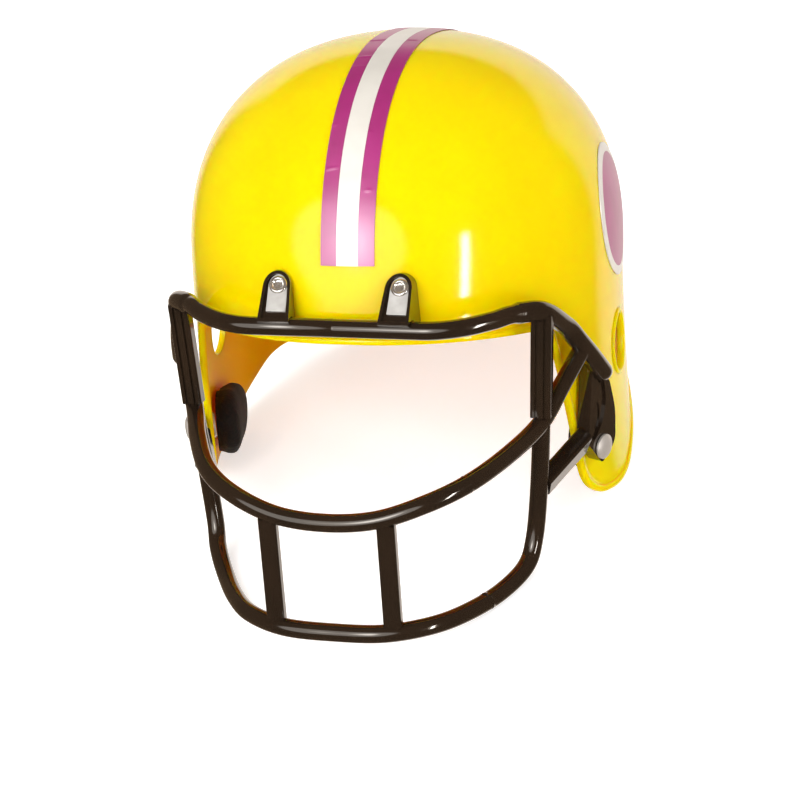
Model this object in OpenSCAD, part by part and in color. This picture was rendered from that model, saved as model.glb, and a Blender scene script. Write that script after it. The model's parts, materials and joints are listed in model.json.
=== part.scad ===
// Costume football helmet with a face guard.
// Helmet axes: x to the wearer's left, y to the back, z up, all from the point between the eyes.
// The helmet is built level and then tipped back until its flaps and nape edge rest on z = 0.

/* [Shell] */
// Half of the shell's outside width
shell_half_w = 98.5; // [88:0.5:110]
// Outside reach of the shell in front of its widest place
shell_front = 111; // [100:0.5:122]
// Outside reach of the shell behind its widest place
shell_back = 134; // [122:0.5:146]
// Distance that the widest place lies in front of the ears' line
widest_fwd = 7; // [0:0.5:15]
// Height of the widest level above the eyes
belt_z = 39; // [34:0.5:46]
// Height of the crown above the widest level
crown_h = 97; // [88:0.5:106]
// Fullness of the dome, 2 for an ellipse
dome_power = 2.28; // [2:0.02:2.6]
// Wall of the moulding
wall = 2.4; // [1.8:0.1:3.2]

/* [Lower edge] */
// Height of the brow edge above the eyes
brow_z = 16.5; // [12:0.5:20]
// Depth of the ear flaps below the eyes
flap_drop = 72; // [66:0.5:76]
// Depth of the nape edge below the eyes
nape_drop = 28; // [24:0.5:34]
// Corner radius between the brow and the flap's front edge
brow_corner_r = 9; // [6:0.5:12]
// Radius of the flap's round foot at its front
flap_toe_r = 26; // [20:0.5:28]
// Radius of the flap's round foot at its back
flap_heel_r = 34; // [24:1:38]
// Width of the raised bead along the edge
bead_w = 3.4; // [2.6:0.1:4.2]
// Height of the raised bead
bead_h = 1.1; // [0.6:0.1:1.6]
// Inward draw of the flaps at their front
draw_front = 8; // [5:0.5:10]
// Outward flare of the flaps at their widest
flap_flare = 5.5; // [3:0.5:8]
// Inward draw of the nape, at the depth of the flaps
draw_nape = 26; // [18:0.5:32]

/* [Ear openings] */
// Width of the ear opening
ear_w = 21; // [17:0.5:24]
// Height of the ear opening
ear_h = 27; // [22:0.5:31]
// Depth of its centre below the eyes
ear_drop = 5.5; // [3:0.5:9]
// Distance of its centre in front of the ears' line
ear_fwd = 5; // [0:0.5:10]
// Width of the ring that lines it
ear_ring_w = 2.6; // [2:0.1:3.4]

/* [Trim] */
// Width of the white middle film
centre_film_w = 9.4; // [7:0.1:12]
// Width of each coloured film beside it
side_film_w = 6.9; // [5:0.1:9]
// Sideways place of the films, off the middle as they were laid
film_shift = 4.3; // [0:0.1:6]
// Height above the eyes at which the films end over the brow
film_front_z = 50.5; // [48:0.5:56]
// Depth below the eyes at which the films end over the nape
film_back_drop = 16; // [8:1:20]
// Thickness of a film
film_t = 0.4; // [0.3:0.05:0.6]
// Diameter of the round badge on each side
badge_d = 60; // [50:1:66]
// Width of the badge's pale border
badge_border = 4; // [3:0.5:6]
// Height of the badge's centre above the eyes
badge_z = 55; // [52:0.5:58]

/* [Face guard] */
// Diameter of the guard's round bars
bar_d = 8; // [7:0.1:9]
// Diameter of the top bar's ends beside the shell
rail_d = 9.2; // [8.2:0.1:10]
// Gap between the brow and the top bar
bar_gap = 1.2; // [0.8:0.1:2]
// Height of the top bar above the brow edge
bar_lift = 8.5; // [8:0.1:9.5]
// Length of the top bar's straight stretch
bar_straight = 74; // [72:1:78]
// Half width of the guard at its upper corners
guard_half_w = 83; // [80:0.5:86]
// Reach of the lower bars in front of the top bar
guard_reach = 26.5; // [20:0.5:32]
// Depth of the middle bar below the eyes, at its centre
mid_drop = 52.5; // [48:0.5:57]
// Depth of the chin bar below the eyes, at its centre
chin_drop = 103.5; // [98:0.5:108]
// Setback of the chin bar behind the middle bar
chin_setback = 6; // [3:0.5:9]
// Gap between the shell and the guard's side ends
rail_gap = 3.6; // [3:0.1:5]
// Width of the upright posts beside the face
post_w = 9.2; // [8:0.1:10]
// Depth of the upright posts, front to back
post_t = 6.4; // [5.4:0.1:7.4]
// Spacing of the two uprights in front of the mouth
mouth_post_gap = 52; // [44:1:60]
// Width of the two uprights in front of the mouth
mouth_post_w = 8; // [7:0.1:9]
// Depth of the two uprights in front of the mouth
mouth_post_t = 5; // [4:0.1:6]
// Thickness of the leaf-shaped side plates
plate_t = 6.6; // [5.8:0.1:7.2]
// Gap between the shell and a side plate
plate_gap = 1.2; // [0.8:0.1:1.6]

/* [Brow clips] */
// Spacing of the two brow clips
clip_gap = 54; // [50:1:58]
// Width of a clip at its foot
clip_w = 15; // [13:0.5:17]
// Width of a clip at its top
clip_top_w = 12; // [11:0.5:13]
// Height of a clip's rivet above the eyes
rivet_z = 41; // [40:0.5:43]
// Height of a clip's top above its rivet
clip_over = 6.6; // [6:0.1:7.4]
// Wall of the clip's hook round the bar
hook_wall = 1.9; // [1.6:0.1:2.4]
// Clearance between the bar and the hook
hook_clear = 0.35; // [0.25:0.05:0.5]
// Width of the bright plate in a clip
strap_w = 8.8; // [8:0.1:9.4]
// Thickness of the bright plate
strap_t = 0.8; // [0.6:0.1:1]
// Diameter of a rivet's head
rivet_head_d = 7.4; // [6.6:0.1:8]
// Diameter of a rivet's shank
rivet_d = 4; // [3.4:0.1:4.6]

/* [Side studs] */
// Distance of the studs in front of the ears' line
stud_fwd = 41; // [39.5:0.5:42.5]
// Depth of the studs below the eyes
stud_drop = 44.4; // [43:0.1:46]
// Diameter of a stud's post
stud_d = 4.4; // [3.8:0.1:5]
// Diameter of the bright cap
cap_d = 11.4; // [10.8:0.1:12]
// Height of the bright cap
cap_h = 2.6; // [2.2:0.1:3.2]
// Distance that a cap pulls out, its spigot's length
cap_travel = 3; // [2:0.1:3.4]

/* [Pads] */
// Thickness of the jaw pads
jaw_pad_t = 15; // [11:0.5:17]
// Thickness of the brow, crown and nape pads
pad_t = 12; // [9:0.5:15]

/* [Hidden] */
$fn = 48;

// Seam left between pieces of the guard that butt together
seam = 0.05;
// Clearance of a pin or shank in its hole, on the radius
pin_clear = 0.15;
// Gap between neighbouring films
film_seam = 0.05;
// Clearance under a film, badge or pad that lies on the shell
lay_clear = 0.12;
pad_clear = 0.45;

// Lines that the rest is placed from
widest_y = -widest_fwd;
brow_y = widest_y - shell_front;
skirt_h = belt_z + flap_drop;
bar_r = bar_d / 2;
rail_r = rail_d / 2;
bar_y = brow_y - bar_gap - bar_r;
bar_z = brow_z + bar_lift;
middle_y = bar_y - guard_reach;
chin_y = middle_y + chin_setback;

// Plan angles of the shell, -90 at the brow, 0 at the ear line, 90 at the nape
draw_from = -35;
flare_at = 15;
brow_corner_at = -35.5;
flap_waist_at = -26.6;
flap_toe_at = -17.4;
flap_heel_at = 0.8;
nape_from = 27;
// Corner radius between the flap's back edge and the nape
nape_corner_r = 30;
// Fall of the brow edge towards its corners
brow_fall = 1.5;
// Depth of the flap's waist below the eyes
flap_waist_drop = 28;
// Length of one degree of plan angle round the shell
girth = (shell_half_w + (shell_front + shell_back) / 2) / 2 * PI / 180;

function mix(a, b, t) = a + (b - a) * t;
function ease(t) = let (u = max(0, min(1, t))) u * u * (3 - 2 * u);
function unit(v) = v / norm(v);
function mirrored(p) = [-p[0], p[1], p[2]];
function reversed(list) = [for (i = [len(list) - 1 : -1 : 0]) list[i]];
function turned(v, a) = [v[0] * cos(a) - v[1] * sin(a), v[0] * sin(a) + v[1] * cos(a)];
function signed_power(v, p) = sign(v) * pow(abs(v), p);

// The shell's surface at plan angle a and height z, set in from the outside
function draw(a) = a < flare_at
  ? mix(draw_front, -flap_flare, ease((a - draw_from) / (flare_at - draw_from)))
  : mix(-flap_flare, draw_nape, ease((a - flare_at) / (90 - flare_at)));
function draw_in(a, z) = z < belt_z ? draw(a) * pow((belt_z - z) / skirt_h, 2) : 0;
function fullness(h) = pow(max(0, 1 - pow(max(0, h), dome_power)), 1 / dome_power);
function skin(a, z, inset = 0) =
  let (r = fullness((z - belt_z) / (crown_h - inset)),
       d = inset + draw_in(a, z),
       reach = a < 0 ? shell_front : shell_back)
  [(shell_half_w - d) * r * cos(a), widest_y + (reach - d) * r * sin(a), z];
function plan_angle(y, z, inset = 0) =
  let (reach = y < widest_y ? shell_front : shell_back,
       r = fullness((z - belt_z) / (crown_h - inset)),
       first = asin((y - widest_y) / (reach * r)))
  asin((y - widest_y) / ((reach - inset - draw_in(first, z)) * r));
function skin_at(y, z, inset = 0) = skin(plan_angle(y, z, inset), z, inset);
function facing(a, z) = unit(cross(skin(a + 1, z) - skin(a - 1, z), skin(a, z + 1) - skin(a, z - 1)));
// The dome's height over a point of the plan
function roof(x, y, inset = 0) =
  let (reach = y < widest_y ? shell_front : shell_back,
       r = norm([x / (shell_half_w - inset), (y - widest_y) / (reach - inset)]))
  [x, y, belt_z + (crown_h - inset) * fullness(r)];

// A path of straight runs with an arc at each inner knot, given as [x, y, radius]
arc_step = 14;
function flat(k) = [k[0], k[1]];
function corner(p0, p1, p2, r) =
  let (d1 = unit(p1 - p0),
       d2 = unit(p2 - p1),
       turn = atan2(cross(d1, d2), d1 * d2),
       inward = sign(turn) * [-d1[1], d1[0]],
       centre = p1 - d1 * r * abs(tan(turn / 2)) + inward * r,
       steps = max(2, ceil(abs(turn) / arc_step)))
  [for (i = [0 : steps]) centre - turned(inward * r, turn * i / steps)];
function rounded(knots) = [
  for (i = [0 : len(knots) - 1])
    each (i == 0 || i == len(knots) - 1)
      ? [flat(knots[i])]
      : corner(flat(knots[i - 1]), flat(knots[i]), flat(knots[i + 1]), knots[i][2])];
function rounded_loop(knots) = [
  for (i = [0 : len(knots) - 1])
    each corner(flat(knots[(i + len(knots) - 1) % len(knots)]), flat(knots[i]),
      flat(knots[(i + 1) % len(knots)]), knots[i][2])];
function dense(path, step) = [
  for (i = [0 : len(path) - 2])
    let (n = max(1, ceil(norm(path[i + 1] - path[i]) / step)))
    for (k = [0 : n - 1]) mix(path[i], path[i + 1], k / n),
  path[len(path) - 1]];

// A smooth curve through the inner knots; the first and the last only steer it
function spline(p, n) = [
  for (i = [1 : len(p) - 3], k = [0 : n - 1])
    let (t = k / n, a = p[i - 1], b = p[i], c = p[i + 1], d = p[i + 2])
    b + (c - a) * t / 2 + (2 * a - 5 * b + 4 * c - d) * t * t / 2
      + (3 * b - a - 3 * c + d) * t * t * t / 2,
  p[len(p) - 2]];
// Both sides of a curve that is given from the middle to its right end
function both_sides(half) = concat(
  [for (i = [len(half) - 1 : -1 : 1]) mirrored(half[i])], half);
function tangent(path, i) = unit(path[min(len(path) - 1, i + 1)] - path[max(0, i - 1)]);
function near(path, p, reach) = [for (q = path) if (norm(q - p) < reach) q];
// The point where the right half of a path reaches a given x
function at_x(half, x) = [x, lookup(x, [for (p = half) [p[0], p[1]]]),
    lookup(x, [for (p = half) [p[0], p[2]]])];

// A closed solid through a stack of rings between two end points
module loft(rings, first, last) {
  cols = len(rings[0]);
  points = concat([first], [for (r = rings) each r], [last]);
  end = len(points) - 1;
  function at(r, c) = 1 + r * cols + c % cols;
  faces = concat(
    [for (c = [0 : cols - 1]) [0, at(0, c + 1), at(0, c)]],
    [for (r = [0 : len(rings) - 2], c = [0 : cols - 1])
      each [[at(r, c), at(r, c + 1), at(r + 1, c + 1)], [at(r, c), at(r + 1, c + 1), at(r + 1, c)]]],
    [for (c = [0 : cols - 1]) [end, at(len(rings) - 1, c), at(len(rings) - 1, c + 1)]]);
  polyhedron(points, faces, convexity = 6);
}

// A closed loop through rings that all lie round one hole
module hoop(rings) {
  turns = len(rings);
  sides = len(rings[0]);
  function at(i, k) = (i % turns) * sides + k % sides;
  polyhedron([for (r = rings) each r],
    [for (i = [0 : turns - 1], k = [0 : sides - 1])
      each [[at(i, k), at(i, k + 1), at(i + 1, k + 1)], [at(i, k), at(i + 1, k + 1), at(i + 1, k)]]],
    convexity = 4);
}

// A round bar along a path, its diameter given at each point
module bar(path, diameters, sides = 10) {
  function ring(i) =
    let (t = tangent(path, i),
         s = unit(cross([0, 1, 0], t)),
         u = cross(t, s),
         r = diameters[i] / 2)
    [for (k = [0 : sides - 1]) let (a = 360 * k / sides) path[i] + (s * cos(a) - u * sin(a)) * r];
  loft([for (i = [0 : len(path) - 1]) ring(i)], path[0], path[len(path) - 1]);
}

// The shell's lower edge, right half, as girth along the shell and height
edge_knots = [
  [-90 * girth, brow_z, 0],
  [brow_corner_at * girth, brow_z - brow_fall, brow_corner_r],
  [flap_waist_at * girth, -flap_waist_drop, 60],
  [flap_toe_at * girth, -flap_drop, flap_toe_r],
  [flap_heel_at * girth, -flap_drop, flap_heel_r],
  [nape_from * girth, -nape_drop, nape_corner_r],
  [90 * girth, -nape_drop, 0]];
edge = dense(rounded(edge_knots), 8);
edge_end = len(edge) - 1;
function edge_normal(i) =
  let (t = unit(edge[min(edge_end, i + 1)] - edge[max(0, i - 1)]))
  (i == 0 || i == edge_end) ? [0, 1] : [-t[1], t[0]];
// The point at distance d inside the edge
function rim(i, d) = edge[i] + edge_normal(i) * d;
// The edge bead's section, as distance inside the edge and height
bead = [[0, bead_h * 0.5], [bead_w * 0.25, bead_h], [bead_w * 0.7, bead_h], [bead_w, 0]];
skirt_rows = 4;
dome_rows = 10;
function dome_z(k, inset) = belt_z + (crown_h - inset) * pow(sin(90 * k / dome_rows), 2 / dome_power);
function whole_ring(half) = concat(half, [for (i = [len(half) - 2 : -1 : 1]) mirrored(half[i])]);
function row(inset, k) = whole_ring([
  for (i = [0 : edge_end])
    let (q = rim(i, bead_w),
         z = k <= skirt_rows ? mix(q[1], belt_z, k / skirt_rows) : dome_z(k - skirt_rows, inset))
    skin(q[0] / girth, z, inset)]);
function edge_row(d, inset) = whole_ring([
  for (i = [0 : edge_end]) let (q = rim(i, d)) skin(q[0] / girth, q[1], inset)]);
last_row = skirt_rows + dome_rows - 1;

module shell_body() {
  outside = concat([for (b = bead) edge_row(b[0], -b[1])], [for (k = [1 : last_row]) row(0, k)]);
  inside = concat([edge_row(0, wall)], [for (k = [1 : last_row]) row(wall, k)]);
  loft(concat(reversed(outside), inside),
    [0, widest_y, belt_z + crown_h], [0, widest_y, belt_z + crown_h - wall]);
}

// The ear opening and the raised ring round it
ear_y = -ear_fwd;
ear_x = skin_at(ear_y, -ear_drop)[0];
module ear_hole() {
  translate([0, ear_y, -ear_drop]) scale([1, ear_w / ear_h, 1]) rotate([0, 90, 0])
    cylinder(h = 2 * ear_x + 40, d = ear_h, center = true);
}
module ear_ring() {
  turns = 30;
  out = 0.2;
  function mid(a) = skin_at(ear_y + (ear_w + ear_ring_w) / 2 * cos(a),
    -ear_drop + (ear_h + ear_ring_w) / 2 * sin(a), -out);
  hoop([for (i = [0 : turns - 1])
    let (p = mid(360 * i / turns), o = unit(p - [ear_x, ear_y, -ear_drop]))
    [for (k = [0 : 5]) let (b = 60 * k + 30) p + (o * cos(b) + [1, 0, 0] * sin(b)) * ear_ring_w / 2]]);
}

// Half of the chin bar: it turns up at its ends and butts against the middle bar from below
chin_end_short = 3;
cross_at = [guard_half_w - 3.5, middle_y + 63.5, -mid_drop + 29.5];
strut_foot = [guard_half_w - 6, chin_y + 62, -chin_drop + 49];
chin_half = spline([
  [-22, chin_y + 1.2, -chin_drop + 0.5],
  [0, chin_y, -chin_drop],
  [22, chin_y + 1.2, -chin_drop + 0.5],
  [40, chin_y + 10, -chin_drop + 2],
  [guard_half_w - 31, chin_y + 24, -chin_drop + 3.5],
  [guard_half_w - 20, chin_y + 42, -chin_drop + 7],
  [guard_half_w - 11.5, chin_y + 56.5, -chin_drop + 14.5],
  [guard_half_w - 8.5, chin_y + 62.5, -chin_drop + 26],
  strut_foot,
  cross_at,
  cross_at + [0, 0, 20]], 3);
chin_path_half = let (n = len(chin_half), in = unit(chin_half[n - 1] - chin_half[n - 2]))
  concat([for (i = [0 : n - 2]) chin_half[i]], [cross_at - chin_end_short * in, cross_at]);

// The level helmet is tipped back until its flaps or chin bar and its nape edge stand on z = 0
nape_y = skin(90, -nape_drop, 0)[1];
function tip_of(p, r) =
  let (run = nape_y - p[1], fall = -p[2] - nape_drop)
  atan2(fall, run) + asin(r / norm([run, fall]));
flap_edge = [for (p = edge) skin(p[0] / girth, p[1])];
rest_tilt = max(concat([for (p = chin_half) tip_of(p, bar_r)],
    [for (p = flap_edge) if (p[1] < 60) tip_of(p, 0)]));
function tipped(p) = [p[0], p[1] * cos(rest_tilt) + p[2] * sin(rest_tilt), p[2] * cos(rest_tilt)
    - p[1] * sin(rest_tilt)];
rest_lift = -min(concat([for (p = chin_half) tipped(p)[2] - bar_r], [for (p = flap_edge) tipped(p)[2]]));
module rested() {
  translate([0, -middle_of_length, rest_lift]) rotate([-rest_tilt, 0, 0]) children();
}
// Length of the helmet as it rests, from its chin bar to the film over its back
back_reach = max([for (k = [-10 : 10]) tipped(skin(90, belt_z + 4 * k, -lay_clear - film_t))[1]]);
front_reach = min([for (p = chin_half) tipped(p)[1]]) - bar_r;
middle_of_length = (back_reach + front_reach) / 2;

// The stud's place on the flap, its outward direction, and the way back and up along the flap
stud_a = plan_angle(-stud_fwd, -stud_drop);
stud_at = skin(stud_a, -stud_drop);
stud_out = facing(stud_a, -stud_drop);
stud_back = unit(cross([0, 0, 1], stud_out));
stud_up = cross(stud_out, stud_back);
module on_flap() {
  translate(stud_at) rotate([0, -asin(stud_out[2]), atan2(stud_out[1], stud_out[0])]) children();
}
function flap_point(out, back, up) = stud_at + stud_out * out + stud_back * back + stud_up * up;
// An outline given as back and up, raised outward; and a pin along the outward direction
module outward(h) {
  rotate([90, 0, 90]) linear_extrude(h) children();
}
module pin(from, to, d) {
  translate([from, 0, 0]) rotate([0, 90, 0]) cylinder(h = to - from, d = d);
}
module pair() {
  children();
  mirror([1, 0, 0]) children();
}

// The clip's place on the brow, its outward direction being x
clip_turn = 6;
rivet_a = -acos(clip_gap / 2 / shell_half_w);
rivet_at = skin(rivet_a, rivet_z);
module on_brow() {
  translate(rivet_at) rotate([0, 0, clip_turn - 90]) children();
}

module shell() {
  color("gold") rested() difference() {
    union() {
      shell_body();
      pair() ear_ring();
    }
    ear_hole();
    pair() on_flap() pin(-3 * wall, 3 * wall, stud_d + 2 * pin_clear);
    pair() on_brow() pin(-3 * wall, 3 * wall, rivet_d + 2 * pin_clear);
  }
}

// Films over the crown: the middle one is white, those beside it are purple
film_rows = 44;
nape_rows = 8;
function crown_point(x, t, off) =
  let (reach = t > 90 ? shell_back : shell_front,
       y = widest_y - (reach + off) * sqrt(1 - pow(x / (shell_half_w + off), 2)) * cos(t))
  roof(x, y, -off);
function nape_point(x, z, off) =
  skin(acos(x / (shell_half_w + off - draw_in(90, z))), z, -off);
film_start = acos(sqrt(pow(fullness((film_front_z - belt_z) / crown_h), 2)
  - pow((film_shift + centre_film_w) / shell_half_w, 2)) / sqrt(1
      - pow((film_shift + centre_film_w) / shell_half_w, 2)));
module film(x0, x1) {
  function point(i, x, off) = i <= film_rows
    ? crown_point(x, mix(film_start, 180, i / film_rows), off)
    : nape_point(x, mix(belt_z, -film_back_drop, (i - film_rows) / nape_rows), off);
  rings = [for (i = [0 : film_rows + nape_rows])
    [point(i, x0, lay_clear), point(i, x1, lay_clear),
     point(i, x1, lay_clear + film_t), point(i, x0, lay_clear + film_t)]];
  loft(rings, (rings[0][0] + rings[0][2]) / 2, (rings[len(rings) - 1][0] + rings[len(rings) - 1][2]) / 2);
}
module film_centre() {
  color("white") rested() film(film_shift - centre_film_w / 2, film_shift + centre_film_w / 2);
}
module film_left() {
  x = film_shift + centre_film_w / 2 + film_seam;
  color("purple") rested() film(x, x + side_film_w);
}
module film_right() {
  x = film_shift - centre_film_w / 2 - film_seam;
  color("purple") rested() film(x - side_film_w, x);
}

// Round badges on the sides: a plain disc in a pale border
badge_y = 1;
badge_turns = 30;
function badge_ring(r, off) = [for (k = [0 : badge_turns - 1])
  skin_at(badge_y + r * cos(360 * k / badge_turns), badge_z + r * sin(360 * k / badge_turns), -off)];
module badge() {
  r = badge_d / 2 - badge_border - film_seam;
  low = [for (k = [1 : 3]) badge_ring(r * k / 3, lay_clear)];
  high = [for (k = [3 : -1 : 1]) badge_ring(r * k / 3, lay_clear + film_t)];
  color("purple") loft([for (g = concat(low, high)) reversed(g)],
    skin_at(badge_y, badge_z, -lay_clear), skin_at(badge_y, badge_z, -lay_clear - film_t));
}
module badge_border_ring() {
  r = badge_d / 2 - badge_border;
  inner_low = badge_ring(r, lay_clear);
  outer_low = badge_ring(badge_d / 2, lay_clear);
  inner_high = badge_ring(r, lay_clear + film_t);
  outer_high = badge_ring(badge_d / 2, lay_clear + film_t);
  color("white") hoop([for (k = [0 : badge_turns - 1])
    [inner_low[k], outer_low[k], outer_high[k], inner_high[k]]]);
}
module badge_left() {
  rested() badge();
}
module badge_right() {
  rested() mirror([1, 0, 0]) badge();
}
module badge_border_left() {
  rested() badge_border_ring();
}
module badge_border_right() {
  rested() mirror([1, 0, 0]) badge_border_ring();
}

// Brow clips: an arched tab that is riveted to the shell, with a hook that the top bar snaps into
tab_t = 3.6;
far = 100;
tab_bend_drop = 4.4;
recess_t = strap_t + 0.7;
recess_w = strap_w + 0.6;
lip_t = 1.8;
hook_r = bar_r + hook_clear + hook_wall;
bar_in_clip = [(rivet_at[1] - bar_y) / cos(clip_turn), bar_z - rivet_z];
hook_x = rivet_at[0] + bar_in_clip[0] * sin(clip_turn);
tab_bend = [tab_t, -tab_bend_drop];
slope_run = norm(bar_in_clip - tab_bend);
slope_dir_a = atan2(bar_in_clip[1] - tab_bend[1], bar_in_clip[0] - tab_bend[0]) + asin(hook_r / slope_run);
slope_dir = [cos(slope_dir_a), sin(slope_dir_a)];
slope_out = [-slope_dir[1], slope_dir[0]];
slope_end = tab_bend + slope_dir * sqrt(slope_run * slope_run - hook_r * hook_r);
recess_end = slope_end - slope_dir * lip_t;
// A point on the tab's face, set in, above the bend, at it and at a place down the slope
function face_bend(inset) = tab_bend - ([1, 0] + slope_out) * inset / (1 + slope_out[0]);
function face_slope(p, inset) = p - slope_out * inset;
module side_profile(points) {
  rotate([90, 0, 0]) linear_extrude(4 * clip_w, center = true) polygon(points);
}
module clip_front(inset = 0) {
  w = clip_w / 2 - inset;
  top_r = clip_top_w / 2 - inset;
  top_z = clip_over - clip_top_w / 2;
  translate([-far / 2, 0, 0]) outward(far) union() {
    polygon([[-w, bar_in_clip[1] - hook_r], [w, bar_in_clip[1] - hook_r], [top_r, top_z], [-top_r, top_z]]);
    translate([0, top_z]) circle(top_r);
  }
}
module at_hook() {
  translate([hook_x, bar_y, bar_z]) children();
}
module clip() {
  back = -4;
  difference() {
    union() {
      on_brow() intersection() {
        side_profile([[back, clip_over + 1], [tab_t, clip_over + 1], tab_bend, slope_end, bar_in_clip,
          [back, bar_in_clip[1]]]);
        clip_front();
      }
      at_hook() rotate([0, 90, 0]) cylinder(h = clip_w, r = hook_r, center = true);
    }
    at_hook() rotate([0, 90, 0]) cylinder(h = 4 * clip_w, r = bar_r + hook_clear, center = true);
    // The hook's mouth looks forward and down
    at_hook() translate([-2 * clip_w, 0, 0]) outward(4 * clip_w)
      polygon(concat([[0, 0]], [for (a = [30 : -34 : -140]) 3 * hook_r * [-cos(a), sin(a)]]));
    // The recess for the bright plate is open at the top
    on_brow() intersection() {
      side_profile([[tab_t - recess_t, clip_over + 2], face_bend(recess_t), face_slope(recess_end, recess_t),
        face_slope(recess_end, -6), [3 * tab_t, clip_over + 2]]);
      translate([0, -recess_w / 2, -far / 2]) cube([far, recess_w, far]);
    }
    on_brow() pin(back - 1, 3 * tab_t, rivet_d + 2 * pin_clear);
    // The back is cut to the shell
    translate(rivet_at) rotate([0, 0, atan2(facing(rivet_a, rivet_z)[1], facing(rivet_a, rivet_z)[0])])
      translate([-far + pad_clear, -far / 2, -far / 2]) cube(far);
  }
}
module clip_left() {
  color("#1c1a18") rested() clip();
}
module clip_right() {
  color("#1c1a18") rested() mirror([1, 0, 0]) clip();
}
// The bright plate lies on the recess floor and stops short of the lip
strap_short = 3;
module clip_strap() {
  low = recess_t - seam;
  high = recess_t - strap_t;
  foot = recess_end - slope_dir * strap_short;
  difference() {
    on_brow() intersection() {
      side_profile([[tab_t - low, clip_over], face_bend(low), face_slope(foot, low),
        face_slope(foot, high), face_bend(high), [tab_t - high, clip_over]]);
      clip_front(0.3);
      translate([-far / 2, -strap_w / 2, -far / 2]) cube([far, strap_w, far]);
    }
    on_brow() pin(-3 * tab_t, 3 * tab_t, rivet_d + 2 * pin_clear);
  }
}
module clip_strap_left() {
  color("silver") rested() clip_strap();
}
module clip_strap_right() {
  color("silver") rested() mirror([1, 0, 0]) clip_strap();
}
// Hollow rivets, with a rolled head on the plate and a clenched tail on the washer
washer_t = 0.8;
washer_gap = 1.5;
washer_d = 8;
module rivet() {
  r = rivet_head_d / 2;
  face = tab_t - recess_t + strap_t + seam;
  tail = -wall - washer_gap - washer_t - seam;
  on_brow() rotate([0, 90, 0]) rotate_extrude() polygon([
    [rivet_d / 4, tail - 1], [rivet_d / 2 + 0.8, tail - 1], [rivet_d / 2 + 1, tail - 0.4],
        [rivet_d / 2 + 0.9, tail],
    [rivet_d / 2, tail], [rivet_d / 2, face], [r, face], [r, face + 0.5], [r - 0.5, face + 1.2],
    [r - 1.2, face + 1.4], [rivet_d / 2 - 0.2, face + 0.9], [rivet_d / 4, face + 0.3]]);
}
module clip_rivets() {
  color("silver") rested() pair() rivet();
}
module rivet_washers() {
  color("silver") rested() pair() on_brow() difference() {
    pin(-wall - washer_gap - washer_t, -wall - washer_gap, washer_d);
    pin(-3 * wall, 3 * wall, rivet_d + 2 * pin_clear);
  }
}

// Face guard: the top bar runs straight through the clips, bows back to the corners
// and goes on down beside the shell
front_bow = 0.016;
front_rise = 0.003;
function front_bar(d) = [bar_straight / 2 + d, bar_y + front_bow * d * d, bar_z + front_rise * d * d];
corner_in = 1;
corner_back = 31;
corner_up = 2.5;
guard_corner = [guard_half_w - corner_in, bar_y + corner_back, bar_z + corner_up];
rail_from = -34.3;
rail_to = -20.2;
rail_top_drop = 7.5;
rail_end_drop = 9;
function rail(t) = skin(mix(rail_from, rail_to, t), mix(bar_z - rail_top_drop, -rail_end_drop, t),
    -rail_gap - rail_r);
rail_dir = unit(rail(1) - rail(0.8));
top_half = concat([[0, bar_y, bar_z]], [for (d = [0 : 7 : 21]) front_bar(d)],
  spline([front_bar(21), front_bar(28), front_bar(35), guard_corner, rail(0), rail(0.3), rail(0.65), rail(1),
    rail(1) + 12 * rail_dir], 3),
  [rail(1) + rail_dir * rail_r * 0.6, rail(1) + rail_dir * rail_r * 0.9]);
collar_in = 11;
function top_d(i) =
  let (last = len(top_half) - 1,
       d = mix(bar_d, rail_d, ease((top_half[i][0] - guard_half_w + collar_in) / 3)))
  i == last ? d * 0.5 : i == last - 1 ? d * 0.82 : d;
top_path = both_sides(top_half);
top_ds = let (half = [for (i = [0 : len(top_half) - 1]) top_d(i)])
  concat(reversed(half), [for (i = [1 : len(half) - 1]) half[i]]);
module top_bar() {
  color("#1c1a18") rested() bar(top_path, top_ds);
}
// A length of a bar a seam thicker than it is, to cut what butts against it
module bar_cut(half, p, d, reach = 22) {
  path = near(half, p, reach);
  bar(path, [for (q = path) d + 2 * seam]);
}

// The middle bar bows out in front of the mouth and climbs to the top bar's side ends
rail_joint = rail(0.45);
middle_half = let (lead = rail_joint - cross_at) spline([
  [-22, middle_y + 1.2, -mid_drop + 2],
  [0, middle_y, -mid_drop],
  [22, middle_y + 1.2, -mid_drop + 2],
  [42, middle_y + 6.5, -mid_drop + 8.3],
  [guard_half_w - 25, middle_y + 19.5, -mid_drop + 14.5],
  [guard_half_w - 12.5, middle_y + 42, -mid_drop + 21.5],
  cross_at,
  cross_at + lead / 2,
  rail_joint,
  rail_joint + lead / 2], 3);
module middle_bar() {
  path = both_sides(middle_half);
  color("#1c1a18") rested() difference() {
    bar(path, [for (q = path) bar_d]);
    pair() bar_cut(top_half, rail_joint, rail_d);
  }
}

module chin_bar() {
  path = both_sides(chin_path_half);
  last = len(path) - 1;
  // The ends narrow where they sink into the cut, so that nothing comes out on its far side
  color("#1c1a18") rested() difference() {
    bar(path, [for (i = [0 : last]) i == 0 || i == last ? bar_d * 0.4 : bar_d]);
    pair() bar_cut(middle_half, cross_at, bar_d);
  }
}

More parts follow.
